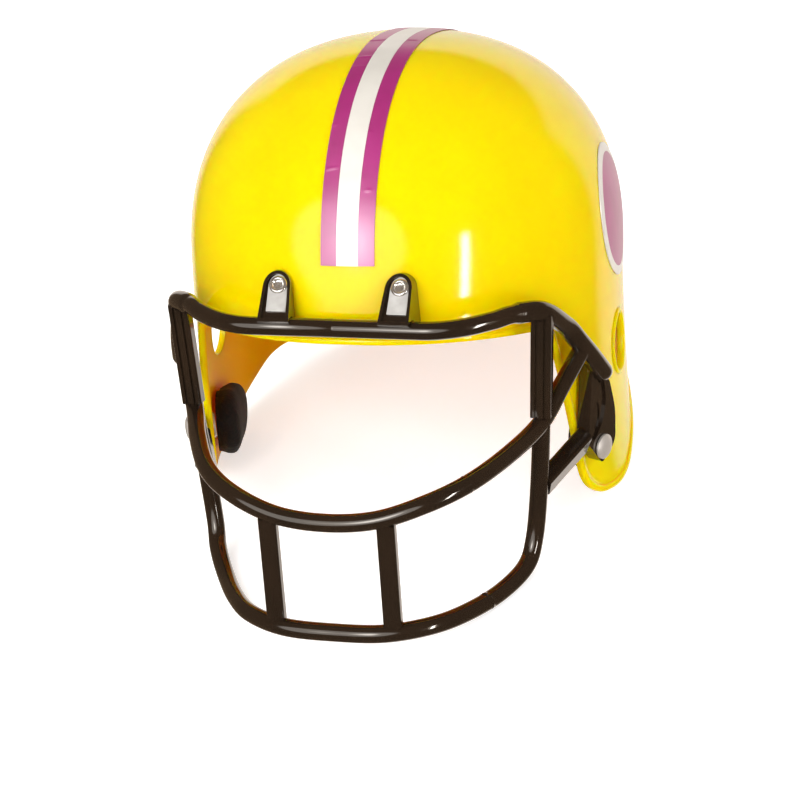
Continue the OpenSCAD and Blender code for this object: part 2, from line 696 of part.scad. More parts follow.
// Puts what stands on z = 0 at p, turned to point at q, without a twist
module along(p, q) {
  d = q - p;
  a = atan2(d[1], d[0]);
  translate(p) rotate([0, acos(d[2] / norm(d)), a]) rotate([0, 0, -a]) children();
}
module rounded_plank(w, t, r) {
  square([w - 2 * r, t], center = true);
  square([w, t - 2 * r], center = true);
  for (x = [-1, 1], y = [-1, 1])
    translate([x * (w / 2 - r), y * (t / 2 - r)]) circle(r);
}
groove_w = 1.2;
groove_t = 1;
module face_post() {
  difference() {
    along(cross_at, guard_corner) translate([0, 0, bar_r - 1])
        linear_extrude(norm(guard_corner - cross_at) - bar_r)
      difference() {
        rounded_plank(post_w, post_t, 1.2);
        for (x = [-1, 1]) translate([x * post_w / 5, -post_t / 2])
            square([groove_w, 2 * groove_t], center = true);
      }
    bar_cut(middle_half, cross_at, bar_d);
    bar_cut(top_half, guard_corner, rail_d);
  }
}
module face_post_left() {
  color("#1c1a18") rested() face_post();
}
module face_post_right() {
  color("#1c1a18") rested() mirror([1, 0, 0]) face_post();
}
module mouth_post() {
  low = at_x(chin_half, mouth_post_gap / 2);
  high = at_x(middle_half, mouth_post_gap / 2);
  difference() {
    along(low, high) translate([0, 0, bar_r - 1]) linear_extrude(norm(high - low) - 2 * bar_r + 2)
      rounded_plank(mouth_post_w, mouth_post_t, 1.2);
    bar_cut(middle_half, high, bar_d);
    bar_cut(chin_half, low, bar_d);
  }
}
module mouth_post_left() {
  color("#1c1a18") rested() mouth_post();
}
module mouth_post_right() {
  color("#1c1a18") rested() mirror([1, 0, 0]) mouth_post();
}

// Leaf-shaped side plates: outlines are given as way back, way up and corner radius from the stud
leaf_front = -11.6;
leaf_rim = 1.7;
leaf_knots = [[leaf_front, 3.4, 1.5], [0.4, -8.2, 2.5], [10.6, 0, 8], [9.2, 16, 30], [3.6, 29.5, 4],
    [-1, 35, 1],
  [leaf_front, 45.3, 1]];
// A pocket with a swept back edge leaves a raised blade along the leaf's back, and a lens is sunk in
// its floor
pocket_front = leaf_front + leaf_rim;
leaf_pocket = [[pocket_front, 5.4, 0.6], [-6.5, 4.6, 0.8], [-0.6, 12, 12], [1.2, 22, 14], [-1.8, 33, 10],
    [-4, 60, 1],
  [pocket_front, 60, 1]];
pocket_t = 1;
lens_at = [-4.7, 15];
lens_h = 13;
lens_w = 4.4;
lens_t = 0.5;
slot_clear = 0.6;
slot_t = 3.4;
// A slot in the back of the plate follows its swing about the top bar and opens over the stud
hinge_at = [(bar_y + stud_fwd) / cos(atan2(stud_out[1], stud_out[0])), bar_z + stud_drop];
slot_from = atan2(-hinge_at[1], -hinge_at[0]);
slot_turn = 13;
function slot_side(r) = [for (k = [0 : 5])
  hinge_at + (norm(hinge_at) + r) * [cos(slot_from + slot_turn * k / 5),
      sin(slot_from + slot_turn * k / 5)]];
module slot() {
  hw = stud_d / 2 + slot_clear;
  out = slot_side(hw);
  polygon(concat(reversed(out), [for (a = [15 : 15 : 165]) turned(out[0], -a)], slot_side(-hw)));
}
module side_plate() {
  difference() {
    on_flap() translate([plate_gap, 0, 0]) difference() {
      outward(plate_t) polygon(rounded_loop(leaf_knots));
      translate([plate_t - pocket_t, 0, 0]) outward(plate_t) polygon(rounded_loop(leaf_pocket));
      translate([plate_t - pocket_t - lens_t, 0, 0]) outward(plate_t)
        translate(lens_at) scale([lens_w / lens_h, 1]) circle(d = lens_h);
      translate([-1, 0, 0]) outward(slot_t + 1) slot();
      pin(slot_t - 0.5, plate_t + 1, spigot_d + 2 * pin_clear);
    }
    bar_cut(top_half, rail(0.8), rail_d + 2 * seam, 40);
  }
}
module side_plate_left() {
  color("#1c1a18") rested() side_plate();
}
module side_plate_right() {
  color("#1c1a18") rested() mirror([1, 0, 0]) side_plate();
}

// Struts from the side plates down to the chin bar's uprights
strut_w = 9;
strut_t = 8;
strut_up = 6.3;
module strut() {
  head = flap_point(plate_gap + plate_t / 2, leaf_front + 3, strut_up);
  difference() {
    along(strut_foot, head) translate([0, 0, bar_r - 1]) linear_extrude(norm(head - strut_foot) - bar_r + 1)
      rounded_plank(strut_t, strut_w, 1);
    bar_cut(chin_half, strut_foot, bar_d);
    on_flap() translate([-far / 2, leaf_front - seam, -far / 2]) cube(far);
  }
}
module strut_left() {
  color("#1c1a18") rested() strut();
}
module strut_right() {
  color("#1c1a18") rested() mirror([1, 0, 0]) strut();
}

// Studs through the flaps hold the plates by their slots, and press-in caps mark them outside
flange_t = 1;
flange_d = 12;
flange_gap = 0.4;
spigot_h = cap_travel;
spigot_d = stud_d + 2 * slot_clear - 0.4;
cap_seat = plate_gap + plate_t + 0.15;
stud_tip = plate_gap + slot_t - 0.4;
module stud() {
  r = stud_d / 2;
  foot = -wall - flange_gap;
  on_flap() rotate([0, 90, 0]) rotate_extrude() polygon([
    [0, foot - flange_t], [flange_d / 2 - 0.4, foot - flange_t], [flange_d / 2, foot - 0.5],
        [flange_d / 2, foot],
    [r, foot], [r, stud_tip - 0.5], [r - 0.5, stud_tip], [0, stud_tip]]);
}
module flap_studs() {
  color("silver") rested() pair() stud();
}
module stud_cap() {
  r = cap_d / 2;
  edge = cap_h * 0.45;
  on_flap() translate([cap_seat, 0, 0]) rotate([0, 90, 0]) rotate_extrude() polygon(concat(
    [[0, -spigot_h], [spigot_d / 2, -spigot_h], [spigot_d / 2, 0], [r - 0.3, 0], [r, 0.3], [r, edge]],
    [for (k = [1 : 4]) [(r - 0.4) * cos(18 * k), edge + (cap_h - edge) * sin(18 * k)]],
    [[0, cap_h]]));
}
module stud_cap_left() {
  color("lightgray") rested() stud_cap();
}
module stud_cap_right() {
  color("lightgray") rested() mirror([1, 0, 0]) stud_cap();
}

// Foam pads: rings of a rounded outline rise from the shell over drawn-in sides to a crown
pad_section = [[0.5, 0], [0.93, 0], [1, 0.22], [1, 0.5], [0.95, 0.74], [0.82, 0.9], [0.55, 0.98], [0.25, 1]];
pad_turns = 28;
pad_power = 3;
module pad(place, half) {
  function ring(r, h) = [for (k = [0 : pad_turns - 1])
    let (a = 360 * k / pad_turns)
    place(half[0] * r * signed_power(cos(a), 2 / pad_power),
        half[1] * r * signed_power(sin(a), 2 / pad_power), h)];
  loft([for (s = pad_section) ring(s[0], s[1])], place(0, 0, 0), place(0, 0, 1));
}
// Middle of each pad and half of its sizes along the shell
jaw_pad_at = [-14, -48];
jaw_pad_half = [22, 18];
brow_pad_z = 68;
brow_pad_half = [40, 17];
nape_pad_z = 12;
nape_pad_half = [38, 24];
crown_pad_y = 2;
crown_pad_half = [36, 46];
module jaw_pad() {
  bed = wall + flange_gap + flange_t + pad_clear;
  pad(function(u, v, h) skin_at(jaw_pad_at[0] + u, jaw_pad_at[1] + v, bed + jaw_pad_t * h), jaw_pad_half);
}
module jaw_pad_left() {
  color("#232323") rested() jaw_pad();
}
module jaw_pad_right() {
  color("#232323") rested() mirror([1, 0, 0]) jaw_pad();
}
module brow_pad() {
  color("#232323") rested()
    pad(function(u, v, h) skin(-90 + u / girth, brow_pad_z + v, wall + pad_clear + pad_t * h),
        brow_pad_half);
}
module nape_pad() {
  color("#232323") rested()
    pad(function(u, v, h) skin(90 + u / girth, nape_pad_z + v, wall + pad_clear + pad_t * h), nape_pad_half);
}
module crown_pad() {
  color("#232323") rested()
    pad(function(u, v, h) roof(u, crown_pad_y + v, wall + pad_clear + pad_t * h), crown_pad_half);
}

shell();
film_centre();
film_left();
film_right();
badge_left();
badge_right();
badge_border_left();
badge_border_right();
clip_left();
clip_right();
clip_strap_left();
clip_strap_right();
clip_rivets();
rivet_washers();
top_bar();
middle_bar();
chin_bar();
face_post_left();
face_post_right();
mouth_post_left();
mouth_post_right();
side_plate_left();
side_plate_right();
strut_left();
strut_right();
flap_studs();
stud_cap_left();
stud_cap_right();
jaw_pad_left();
jaw_pad_right();
brow_pad();
crown_pad();
nape_pad();
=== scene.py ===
import json
import math

import bpy
import numpy as np
from mathutils import Matrix, Quaternion, Vector
from mathutils.bvhtree import BVHTree


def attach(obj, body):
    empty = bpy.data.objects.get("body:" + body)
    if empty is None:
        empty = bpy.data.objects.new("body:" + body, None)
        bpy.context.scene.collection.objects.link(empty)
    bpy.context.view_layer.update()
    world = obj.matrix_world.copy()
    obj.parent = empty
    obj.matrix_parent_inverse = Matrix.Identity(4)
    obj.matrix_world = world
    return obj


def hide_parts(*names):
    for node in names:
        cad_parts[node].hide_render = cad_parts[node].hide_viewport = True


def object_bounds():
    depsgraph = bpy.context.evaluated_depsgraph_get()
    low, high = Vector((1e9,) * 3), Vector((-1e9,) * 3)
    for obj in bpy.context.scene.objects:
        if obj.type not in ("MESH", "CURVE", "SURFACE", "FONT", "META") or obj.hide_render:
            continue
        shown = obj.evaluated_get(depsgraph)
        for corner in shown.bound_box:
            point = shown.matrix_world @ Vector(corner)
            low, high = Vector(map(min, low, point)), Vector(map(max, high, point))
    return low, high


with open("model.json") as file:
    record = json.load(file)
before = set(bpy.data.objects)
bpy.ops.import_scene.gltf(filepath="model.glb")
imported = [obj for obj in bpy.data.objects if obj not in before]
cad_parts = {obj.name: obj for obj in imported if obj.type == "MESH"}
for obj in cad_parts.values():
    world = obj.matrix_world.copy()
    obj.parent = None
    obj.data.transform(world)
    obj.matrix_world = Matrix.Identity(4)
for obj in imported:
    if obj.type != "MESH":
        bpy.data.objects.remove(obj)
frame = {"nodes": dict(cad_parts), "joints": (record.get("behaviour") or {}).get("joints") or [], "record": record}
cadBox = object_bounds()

# The helmet is drawn level, in millimetres: x to its own left, y to its back, z up, and z = 0 lies 16.5 below
# the brow's edge. It stands tipped back on its ear flaps and the edge of its nape, which placed() does.
barLine = dict(y=-123.2, z=25.0)  # where the top bar runs through the clips
seatAxis = frame["record"]["mounts"][0]["axis"]
swing = next(j for j in frame["joints"] if j["name"] == "guard_swing")
tipBack = Matrix.Rotation(-math.asin(-seatAxis[1]), 3, "X")
levelOrigin = Vector(swing["pos_m"]) - tipBack @ Vector((0, barLine["y"], barLine["z"])) / 1000
levelToRest = Matrix.Translation(levelOrigin) @ tipBack.to_4x4() @ Matrix.Scale(0.001, 4)


def placed(point):
    return levelToRest @ Vector(point)


def linearColour(code):  # sRGB hex to Blender's linear colour
    parts = [int(code[i:i + 2], 16) / 255 for i in (1, 3, 5)]
    return [c / 12.92 if c <= 0.04045 else ((c + 0.055) / 1.055) ** 2.4 for c in parts] + [1]


def addNode(tree, kind, settings=None, links=None):  # a link comes from a socket, or from a node's first output
    made = tree.nodes.new(kind)
    for key, value in (settings or {}).items():
        if key == "stops":  # a colour ramp's places and colours
            for stop, (place, code) in zip(made.color_ramp.elements, value):
                stop.position, stop.color = place, linearColour(code)
        elif isinstance(key, int) or key in made.inputs:
            made.inputs[key].default_value = value
        else:
            setattr(made, key, value)
    for key, source in (links or {}).items():
        tree.links.new(source.outputs[0] if isinstance(source, bpy.types.Node) else source, made.inputs[key])
    return made


def newMaterial(name):
    made = bpy.data.materials.new(name)
    made.use_nodes = True
    made.node_tree.nodes.clear()
    return made, made.node_tree


# A look names its patterns, each with its kind, its size in millimetres and settings. The colour and the dullness
# follow one pattern each, and the bumps lie on each other, with depths in millimetres. The rest is the shader's own.
def makeFinish(name, patterns, colour, bumps, shader, dullness=None, drawnOut=None):
    material, tree = newMaterial(name)
    where = addNode(tree, "ShaderNodeTexCoord").outputs["Object"]
    made, links = {}, {}
    for key, (kind, size, settings) in patterns.items():
        place = where
        if key in (drawnOut or {}):  # drawn out along y and z into lines
            place = addNode(tree, "ShaderNodeMapping", {"Scale": drawnOut[key]}, {"Vector": where})
        made[key] = addNode(tree, kind, {"Scale": 1000 / size, **settings}, {"Vector": place})
    key, stops = colour
    links["Base Color"] = addNode(tree, "ShaderNodeValToRGB", {"stops": stops}, {"Fac": made[key]})
    for key, depth in bumps:
        under = {"Normal": links["Normal"]} if "Normal" in links else {}
        links["Normal"] = addNode(tree, "ShaderNodeBump", {"Strength": 1, "Distance": depth / 1000},
                                  {"Height": made[key], **under})
    if dullness:
        key, glossy, dull = dullness
        links["Roughness"] = addNode(tree, "ShaderNodeMapRange", {"To Min": glossy, "To Max": dull},
                                     {"Value": made[key]})
    surface = addNode(tree, "ShaderNodeBsdfPrincipled", shader, links)
    addNode(tree, "ShaderNodeOutputMaterial", {}, {"Surface": surface})
    return material


noise, cells = "ShaderNodeTexNoise", "ShaderNodeTexVoronoi"


# Polypropylene, injection moulded in a polished tool: high gloss with a faint orange-peel swim, and light that
# scatters a few millimetres inside it
def makeShellPlastic(name, lit, deep, roughness, gloss):
    return makeFinish(
        name, dict(flow=(noise, 60, {"Detail": 3}), peel=(noise, 5, {})),
        colour=("flow", [(0.35, deep), (0.65, lit)]), bumps=[("peel", 0.01)],
        shader={"Roughness": roughness, "IOR": 1.49, "Specular IOR Level": gloss, "Subsurface Weight": 1.0,
                "Subsurface Radius": (0.005, 0.0028, 0.0006), "Subsurface Scale": 1.0})


# PVC film, calendered and printed with a metallic ink: satin, with small ripples from pressing. Its IOR is above
# PVC's own 1.53, for the ink's glare.
def makeFilm(name, lit, deep):
    return makeFinish(
        name, dict(mottle=(noise, 16, {"Detail": 3}), ripple=(noise, 7, {})),
        colour=("mottle", [(0.3, deep), (0.7, lit)]), bumps=[("ripple", 0.06)],
        shader={"IOR": 2.3, "Roughness": 0.34, "Coat Weight": 0.3, "Coat Roughness": 0.12})


# Steel, pressed and plated: bright, with fine rolling lines. The plates' zinc is set only half metallic, so that half
# of its pale colour
# shows as matt white: a painted reflection of the lamps that the flat plates mirror. The rivets' nickel is nearly all
# metal.
def makePlatedSteel(name, metallic):
    return makeFinish(
        name, dict(lines=(noise, 0.5, {}), mottle=(noise, 6, {})), drawnOut=dict(lines=(1, 0.06, 0.06)),
        colour=("mottle", [(0.3, "#d6d3ce"), (0.7, "#f2f0ec")]), bumps=[("lines", 0.004)],
        dullness=("lines", 0.12, 0.26), shader={"Metallic": metallic})


shellPlastic = makeShellPlastic("mouldedPolypropyleneYellow", "#ffd700", "#ffce00", 0.1, 0.5)
# the mould's core side isn't polished, so the inner skin is dull; its deeper orange is painted shade, standing in for
# the orange glow of light through the shell and between its walls
shellInsidePaintedShade = makeShellPlastic("mouldedPolypropyleneInsidePaintedShade", "#ffc000", "#ffb200", 0.5, 0.15)
purpleFilm = makeFilm("pvcFilmPurple", "#ac1678", "#9a1267")
whiteFilm = makeFilm("pvcFilmWhite", "#e6e0d6", "#dbd5cb")
# half metallic: the plates' pale matt share is painted reflection
platedSteelPaintedReflection = makePlatedSteel("zincPlatedSteelPaintedReflection", 0.5)
rivetSteel = makePlatedSteel("nickelPlatedSteel", 0.9)

# ABS, injection moulded black: glossy, slightly uneven where the melt cooled, so that highlights waver. The warm tint
# of its reflections is painted reflection of warm surroundings
guardPlastic = makeFinish(
    "mouldedAbsBlack", dict(flow=(noise, 30, {"Detail": 3}), sink=(noise, 14, {}), fine=(noise, 0.9, {"Detail": 1}),
                            patches=(noise, 9, {"Detail": 3})),
    colour=("flow", [(0.3, "#1a130e"), (0.75, "#251a12")]), bumps=[("sink", 0.05), ("fine", 0.004)],
    dullness=("patches", 0.09, 0.17),
    # the warm Specular Tint is painted reflection
    shader={"IOR": 1.53, "Specular Tint": linearColour("#fff0dc"), "Coat Weight": 1.0, "Coat Roughness": 0.05})

# Aluminium, satin finished and lacquered: soft grey with a fine speck
capMetal = makeFinish(
    "satinAluminium", dict(speck=(noise, 0.6, {}), mottle=(noise, 3, {})),
    colour=("mottle", [(0.3, "#d6cfc8"), (0.7, "#e2dbd4")]), bumps=[("speck", 0.004)],
    dullness=("speck", 0.4, 0.5), shader={"Metallic": 0.6})

# EVA foam, cut from sheet and hot pressed: matt black with a skin of fine cells
foam = makeFinish(
    "pressedEvaFoam", dict(cells=(cells, 1.1, {}), dents=(noise, 12, {})),
    colour=("cells", [(0.1, "#0a0705"), (0.7, "#17100c")]), bumps=[("dents", 0.5), ("cells", 0.12)],
    shader={"Roughness": 0.9, "Sheen Weight": 0.08, "Sheen Roughness": 0.5})
print("materials made")


def newObject(name, data):
    made = bpy.data.objects.new(name, data)
    bpy.context.scene.collection.objects.link(made)
    return made


def newMesh(name, points, faces):
    mesh = bpy.data.meshes.new(name)
    mesh.from_pydata(points, [], faces)
    return newObject(name, mesh)


def smoothed(piece, sharp=None):  # smooth shading, but for edges sharper than an angle
    piece.data.polygons.foreach_set("use_smooth", [True] * len(piece.data.polygons))
    if sharp:
        piece.data.set_sharp_from_angle(angle=math.radians(sharp))


def softened(piece, width, sharp):  # a small round along edges, width in millimetres
    bevel = piece.modifiers.new("softened", "BEVEL")
    bevel.width = width / 1000
    bevel.segments = 3
    bevel.limit_method = "ANGLE"
    bevel.angle_limit = math.radians(sharp)
    smoothed(piece, sharp)
    return bevel


def newPiece(name, points, faces, material, body, nodes, slot):  # nodes are what it replaces
    piece = newMesh(name, [placed(p) for p in points], faces)
    piece.data.update()
    piece.data.materials.append(material)
    smoothed(piece)
    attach(piece, body)
    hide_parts(*nodes)
    return piece


def gridFaces(rows, cols, closed, start=0):  # closed joins the last column to the first
    faces = []
    for r in range(rows - 1):
        here, beyond = start + r * cols, start + (r + 1) * cols
        for c in range(cols if closed else cols - 1):
            d = (c + 1) % cols
            faces.append((here + c, here + d, beyond + d, beyond + c))
    return faces


def mirroredTo(side, point):  # side is 1 for the helmet's left and -1 for its right
    return np.array(point) * np.array([side, 1, 1])


def fullTurn(count):  # angles in radians
    return [2 * math.pi * k / count for k in range(count)]


def mixed(a, b, t):
    return a + (b - a) * t


def eased(t):
    t = min(max(t, 0), 1)
    return t * t * (3 - 2 * t)


def spline(knots, steps):  # the first and the last knot only steer
    knots = [np.array(k, float) for k in knots]
    points = []
    for i in range(1, len(knots) - 2):
        a, b, c, d = knots[i - 1:i + 3]
        for k in range(steps):
            t = k / steps
            points.append(b + (c - a) * t / 2 + (2 * a - 5 * b + 4 * c - d) * t * t / 2
                          + (3 * b - a - 3 * c + d) * t ** 3 / 2)
    points.append(knots[-2])
    return points


# Shell form, as in the part's own sizes: millimetres, and plan angles in degrees from the side to the back
shellForm = dict(halfWidth=98.5, front=111, back=134, widestY=-7, beltZ=39, crown=97, power=2.28, wall=2.4,
                 browZ=16.5, flapDrop=72, napeDrop=28, drawFrom=-35, drawFront=8, flareAt=15, flapFlare=5.5,
                 drawNape=26, browCorner=-35.5, browCornerRadius=9, flapWaist=-26.6, flapWaistDrop=28,
                 flapWaistRadius=60, flapToe=-17.4, flapToeRadius=26, flapHeel=0.8, flapHeelRadius=34, napeFrom=27,
                 napeCornerRadius=30, browFall=1.5, earY=-5, earZ=-5.5, earWide=21, earHigh=27)
skirtHigh = shellForm["beltZ"] + shellForm["flapDrop"]
halfLength = (shellForm["front"] + shellForm["back"]) / 2
girth = (shellForm["halfWidth"] + halfLength) / 2 * math.pi / 180  # of edge for each degree of plan angle


def drawnIn(angle, z):  # how far the skirt below the belt is drawn in
    form = shellForm
    if z >= form["beltZ"]:
        return 0
    if angle < form["flareAt"]:
        along = eased((angle - form["drawFrom"]) / (form["flareAt"] - form["drawFrom"]))
        draw = mixed(form["drawFront"], -form["flapFlare"], along)
    else:
        draw = mixed(-form["flapFlare"], form["drawNape"], eased((angle - form["flareAt"]) / (90 - form["flareAt"])))
    return draw * ((form["beltZ"] - z) / skirtHigh) ** 2


def fullness(h):  # share of the belt's size at height h, or of the crown's height at h out from the middle
    return max(0, 1 - max(0, h) ** shellForm["power"]) ** (1 / shellForm["power"])


def skin(angle, z, inset=0):  # a point of the outer skin, or of one inset into the wall, by plan angle and height
    form = shellForm
    size = fullness((z - form["beltZ"]) / (form["crown"] - inset))
    lost = inset + drawnIn(angle, z)
    reach = form["front"] if angle < 0 else form["back"]
    turn = math.radians(angle)
    return np.array([(form["halfWidth"] - lost) * size * math.cos(turn),
                     form["widestY"] + (reach - lost) * size * math.sin(turn), z])


def planAngle(y, z, inset=0):
    form = shellForm
    reach = form["front"] if y < form["widestY"] else form["back"]
    size = fullness((z - form["beltZ"]) / (form["crown"] - inset))
    first = math.degrees(math.asin((y - form["widestY"]) / (reach * size)))
    return math.degrees(math.asin((y - form["widestY"]) / ((reach - inset - drawnIn(first, z)) * size)))


def skinAt(y, z, inset=0):  # the same on the left side by its distance back and height
    return skin(planAngle(y, z, inset), z, inset)


def roof(x, y, inset=0):  # the same over the crown
    form = shellForm
    reach = form["front"] if y < form["widestY"] else form["back"]
    out = math.hypot(x / (form["halfWidth"] - inset), (y - form["widestY"]) / (reach - inset))
    return np.array([x, y, form["beltZ"] + (form["crown"] - inset) * fullness(out)])


# Straight runs with an arc at each inner knot, given as x, y, radius. No step is longer than step or turns by more
# than 0.1 radians.
def roundedPath(knots, step):
    path = [np.array(knots[0][:2], float)]
    for i in range(1, len(knots) - 1):
        before, here, after = [np.array(k[:2], float) for k in knots[i - 1:i + 2]]
        d1 = (here - before) / np.linalg.norm(here - before)
        d2 = (after - here) / np.linalg.norm(after - here)
        turn = math.atan2(d1[0] * d2[1] - d1[1] * d2[0], d1 @ d2)
        inward = math.copysign(1, turn) * np.array([-d1[1], d1[0]])
        radius = knots[i][2]
        centre = here - d1 * radius * abs(math.tan(turn / 2)) + inward * radius
        steps = max(2, math.ceil(abs(turn) * radius / step), math.ceil(abs(turn) / 0.1))
        for k in range(steps + 1):
            a = turn * k / steps
            spoke = inward * radius
            path.append(centre - np.array([spoke[0] * math.cos(a) - spoke[1] * math.sin(a),
                                           spoke[0] * math.sin(a) + spoke[1] * math.cos(a)]))
    path.append(np.array(knots[-1][:2], float))
    dense = []
    for a, b in zip(path, path[1:]):
        count = max(1, math.ceil(np.linalg.norm(b - a) / step))
        dense += [a + (b - a) * k / count for k in range(count)]
    return dense + [path[-1]]


def shellEdge(step):
    form = shellForm
    return roundedPath([(-90 * girth, form["browZ"], 0),
                        (form["browCorner"] * girth, form["browZ"] - form["browFall"], form["browCornerRadius"]),
                        (form["flapWaist"] * girth, -form["flapWaistDrop"], form["flapWaistRadius"]),
                        (form["flapToe"] * girth, -form["flapDrop"], form["flapToeRadius"]),
                        (form["flapHeel"] * girth, -form["flapDrop"], form["flapHeelRadius"]),
                        (form["napeFrom"] * girth, -form["napeDrop"], form["napeCornerRadius"]),
                        (90 * girth, -form["napeDrop"], 0)], step)


def prism(ring, way):  # a flat ring of points pushed along way; the ring runs counter-clockwise seen from its end
    n = len(ring)
    points = [np.array(p, float) for p in ring] + [np.array(p, float) + np.array(way) for p in ring]
    faces = [(k, (k + 1) % n, n + (k + 1) % n, n + k) for k in range(n)]
    return points, faces + [tuple(range(n))[::-1], tuple(range(n, 2 * n))]


def applied(piece):  # the piece's mesh as its modifiers make it
    bpy.context.view_layer.update()
    return bpy.data.meshes.new_from_object(piece.evaluated_get(bpy.context.evaluated_depsgraph_get()))


def carved(piece, steps):  # steps are an operation and the solid for it
    for operation, (points, faces) in steps:
        tool = newMesh("tool", [placed(p) for p in points], faces)
        cut = piece.modifiers.new("carved", "BOOLEAN")
        cut.object = tool
        cut.operation = operation
        cut.solver = "EXACT"
        result = applied(piece)
        piece.modifiers.clear()
        piece.data = result
        bpy.data.objects.remove(tool)


# Shell: a rolled bead runs round its edge
def buildShell():
    size = dict(step=2.5, skirtRows=26, domeRows=46, beadWide=3.4, beadHigh=1.1, earTurns=64, earCut=140, onSkin=0.3)
    form = shellForm
    edge = shellEdge(size["step"])
    normals = []
    for i, p in enumerate(edge):
        run = edge[min(len(edge) - 1, i + 1)] - edge[max(0, i - 1)]
        run = run / np.linalg.norm(run)
        normals.append(np.array([0, 1.0]) if i in (0, len(edge) - 1) else np.array([-run[1], run[0]]))

    def wholeRing(half):
        return half + [mirroredTo(-1, p) for p in half[-2:0:-1]]

    def edgeRow(deep, inset):  # a ring deep in from the edge
        return wholeRing([skin(q[0] / girth, q[1], inset) for q in (p + n * deep for p, n in zip(edge, normals))])

    def row(inset, k):  # the ring k rows up from the bead
        ring = []
        for p, n in zip(edge, normals):
            q = p + n * size["beadWide"]
            if k <= size["skirtRows"]:
                z = mixed(q[1], form["beltZ"], k / size["skirtRows"])
            else:
                up = (k - size["skirtRows"]) / size["domeRows"]
                z = form["beltZ"] + (form["crown"] - inset) * math.sin(math.pi / 2 * up) ** (2 / form["power"])
            ring.append(skin(q[0] / girth, z, inset))
        return wholeRing(ring)

    wide, high, wall = size["beadWide"], size["beadHigh"], form["wall"]
    bead = [(wide, 0), (wide * 0.88, -high * 0.5), (wide * 0.7, -high * 0.92), (wide * 0.45, -high),
            (wide * 0.2, -high * 0.85), (wide * 0.05, -high * 0.45), (0, 0.1), (0, wall * 0.6),
            (wide * 0.06, wall * 0.88), (wide * 0.16, wall)]
    last = size["skirtRows"] + size["domeRows"] - 1
    rings = [row(0, k) for k in range(last, 0, -1)] + [edgeRow(deep, inset) for deep, inset in bead]
    rings += [row(wall, k) for k in range(1, last + 1)]
    cols = len(rings[0])
    points = [p for ring in rings for p in ring]
    faces = [f[::-1] for f in gridFaces(len(rings), cols, True)]
    points.append(roof(0, form["widestY"]))
    points.append(roof(0, form["widestY"], wall))
    top, under, base = len(points) - 2, len(points) - 1, (len(rings) - 1) * cols
    faces += [(c, (c + 1) % cols, top) for c in range(cols)]
    faces += [(base + (c + 1) % cols, base + c, under) for c in range(cols)]
    shell = newPiece("shellMoulding", points, faces, shellPlastic, "helmet", ["shell"], "shell")

    corners = [v.co.copy() for v in shell.data.vertices]
    cornerNormals = [v.normal.copy() for v in shell.data.vertices]
    polygons = [tuple(p.vertices) for p in shell.data.polygons]
    smooth = BVHTree.FromPolygons(corners, polygons)

    # the ear openings are cut through, then the cut shell takes the uncut one's normals
    ring = [(-size["earCut"], form["earY"] + form["earWide"] / 2 * math.cos(a),
             form["earZ"] + form["earHigh"] / 2 * math.sin(a)) for a in fullTurn(size["earTurns"])]
    carved(shell, [("DIFFERENCE", prism(ring, (2 * size["earCut"], 0, 0)))])
    smoothed(shell)

    def smoothNormal(place):
        near, normal, index, far = smooth.find_nearest(place)
        spread = [max(1e-9, (near - corners[v]).length) for v in polygons[index]]
        blended = Vector()
        for v, d in zip(polygons[index], spread):
            blended += cornerNormals[v] / d
        return blended.normalized()

    loops = [None] * len(shell.data.loops)
    kept = {}
    for polygon in shell.data.polygons:
        near, normal, index, far = smooth.find_nearest(polygon.center)
        onSkin = abs(normal.dot(polygon.normal)) > 0.8 and far < size["onSkin"] / 1000
        for loop in polygon.loop_indices:
            vertex = shell.data.loops[loop].vertex_index
            if onSkin:
                if vertex not in kept:
                    kept[vertex] = smoothNormal(shell.data.vertices[vertex].co)
                loops[loop] = kept[vertex]
            else:
                loops[loop] = polygon.normal.copy()
    shell.data.normals_split_custom_set(loops)
    # the inner faces take the deeper orange copy, which is painted shade
    shell.data.materials.append(shellInsidePaintedShade)
    middle = placed((0, form["widestY"], form["beltZ"]))
    for polygon in shell.data.polygons:
        polygon.material_index = int(polygon.normal.dot(polygon.center - middle) < 0)
    return shell


def sweep(path, radiusAt, sides=28):  # a round bar with closed ends
    path = [np.array(p, float) for p in path]
    run = [path[min(len(path) - 1, i + 1)] - path[max(0, i - 1)] for i in range(len(path))]
    run = [r / np.linalg.norm(r) for r in run]
    points, side = [], None
    for i, p in enumerate(path):
        guess = np.array([0, 1.0, 0]) if side is None else side
        side = np.cross(np.cross(run[i], guess), run[i])
        side /= np.linalg.norm(side)
        other = np.cross(run[i], side)
        points += [p + (side * math.cos(a) + other * math.sin(a)) * radiusAt(i) for a in fullTurn(sides)]
    faces = gridFaces(len(path), sides, True)
    faces += [tuple(range(sides))[::-1], tuple(range((len(path) - 1) * sides, len(path) * sides))]
    return points, faces


def seamed(path, radiusAt, places):  # shallow rings in a bar where its mould closes
    ring = [(-0.45, 0), (-0.2, -0.25), (0.1, 0.14), (0.3, 0)]  # place along the bar and change of radius
    path = [np.array(p, float) for p in path]
    radii = [radiusAt(i) for i in range(len(path))]

    def nearest(place, k):  # the point of run k nearest to place, half a millimetre or more from its ends
        run = path[k + 1] - path[k]
        room = min(0.49, 0.5 / np.linalg.norm(run))
        return path[k] + run * np.clip(np.dot(place - path[k], run) / np.dot(run, run), room, 1 - room)

    for place in np.array(places, float):
        i = min(range(1, len(path) - 2), key=lambda k: np.linalg.norm(nearest(place, k) - place))
        step = (path[i + 1] - path[i]) / np.linalg.norm(path[i + 1] - path[i])
        middle = nearest(place, i)
        path[i + 1:i + 1] = [middle + step * d for d, change in ring]
        radii[i + 1:i + 1] = [radii[i] + change for d, change in ring]
    return path, lambda i: radii[i]


def bothSides(half):
    return [mirroredTo(-1, p) for p in half[:0:-1]] + [np.array(p, float) for p in half]


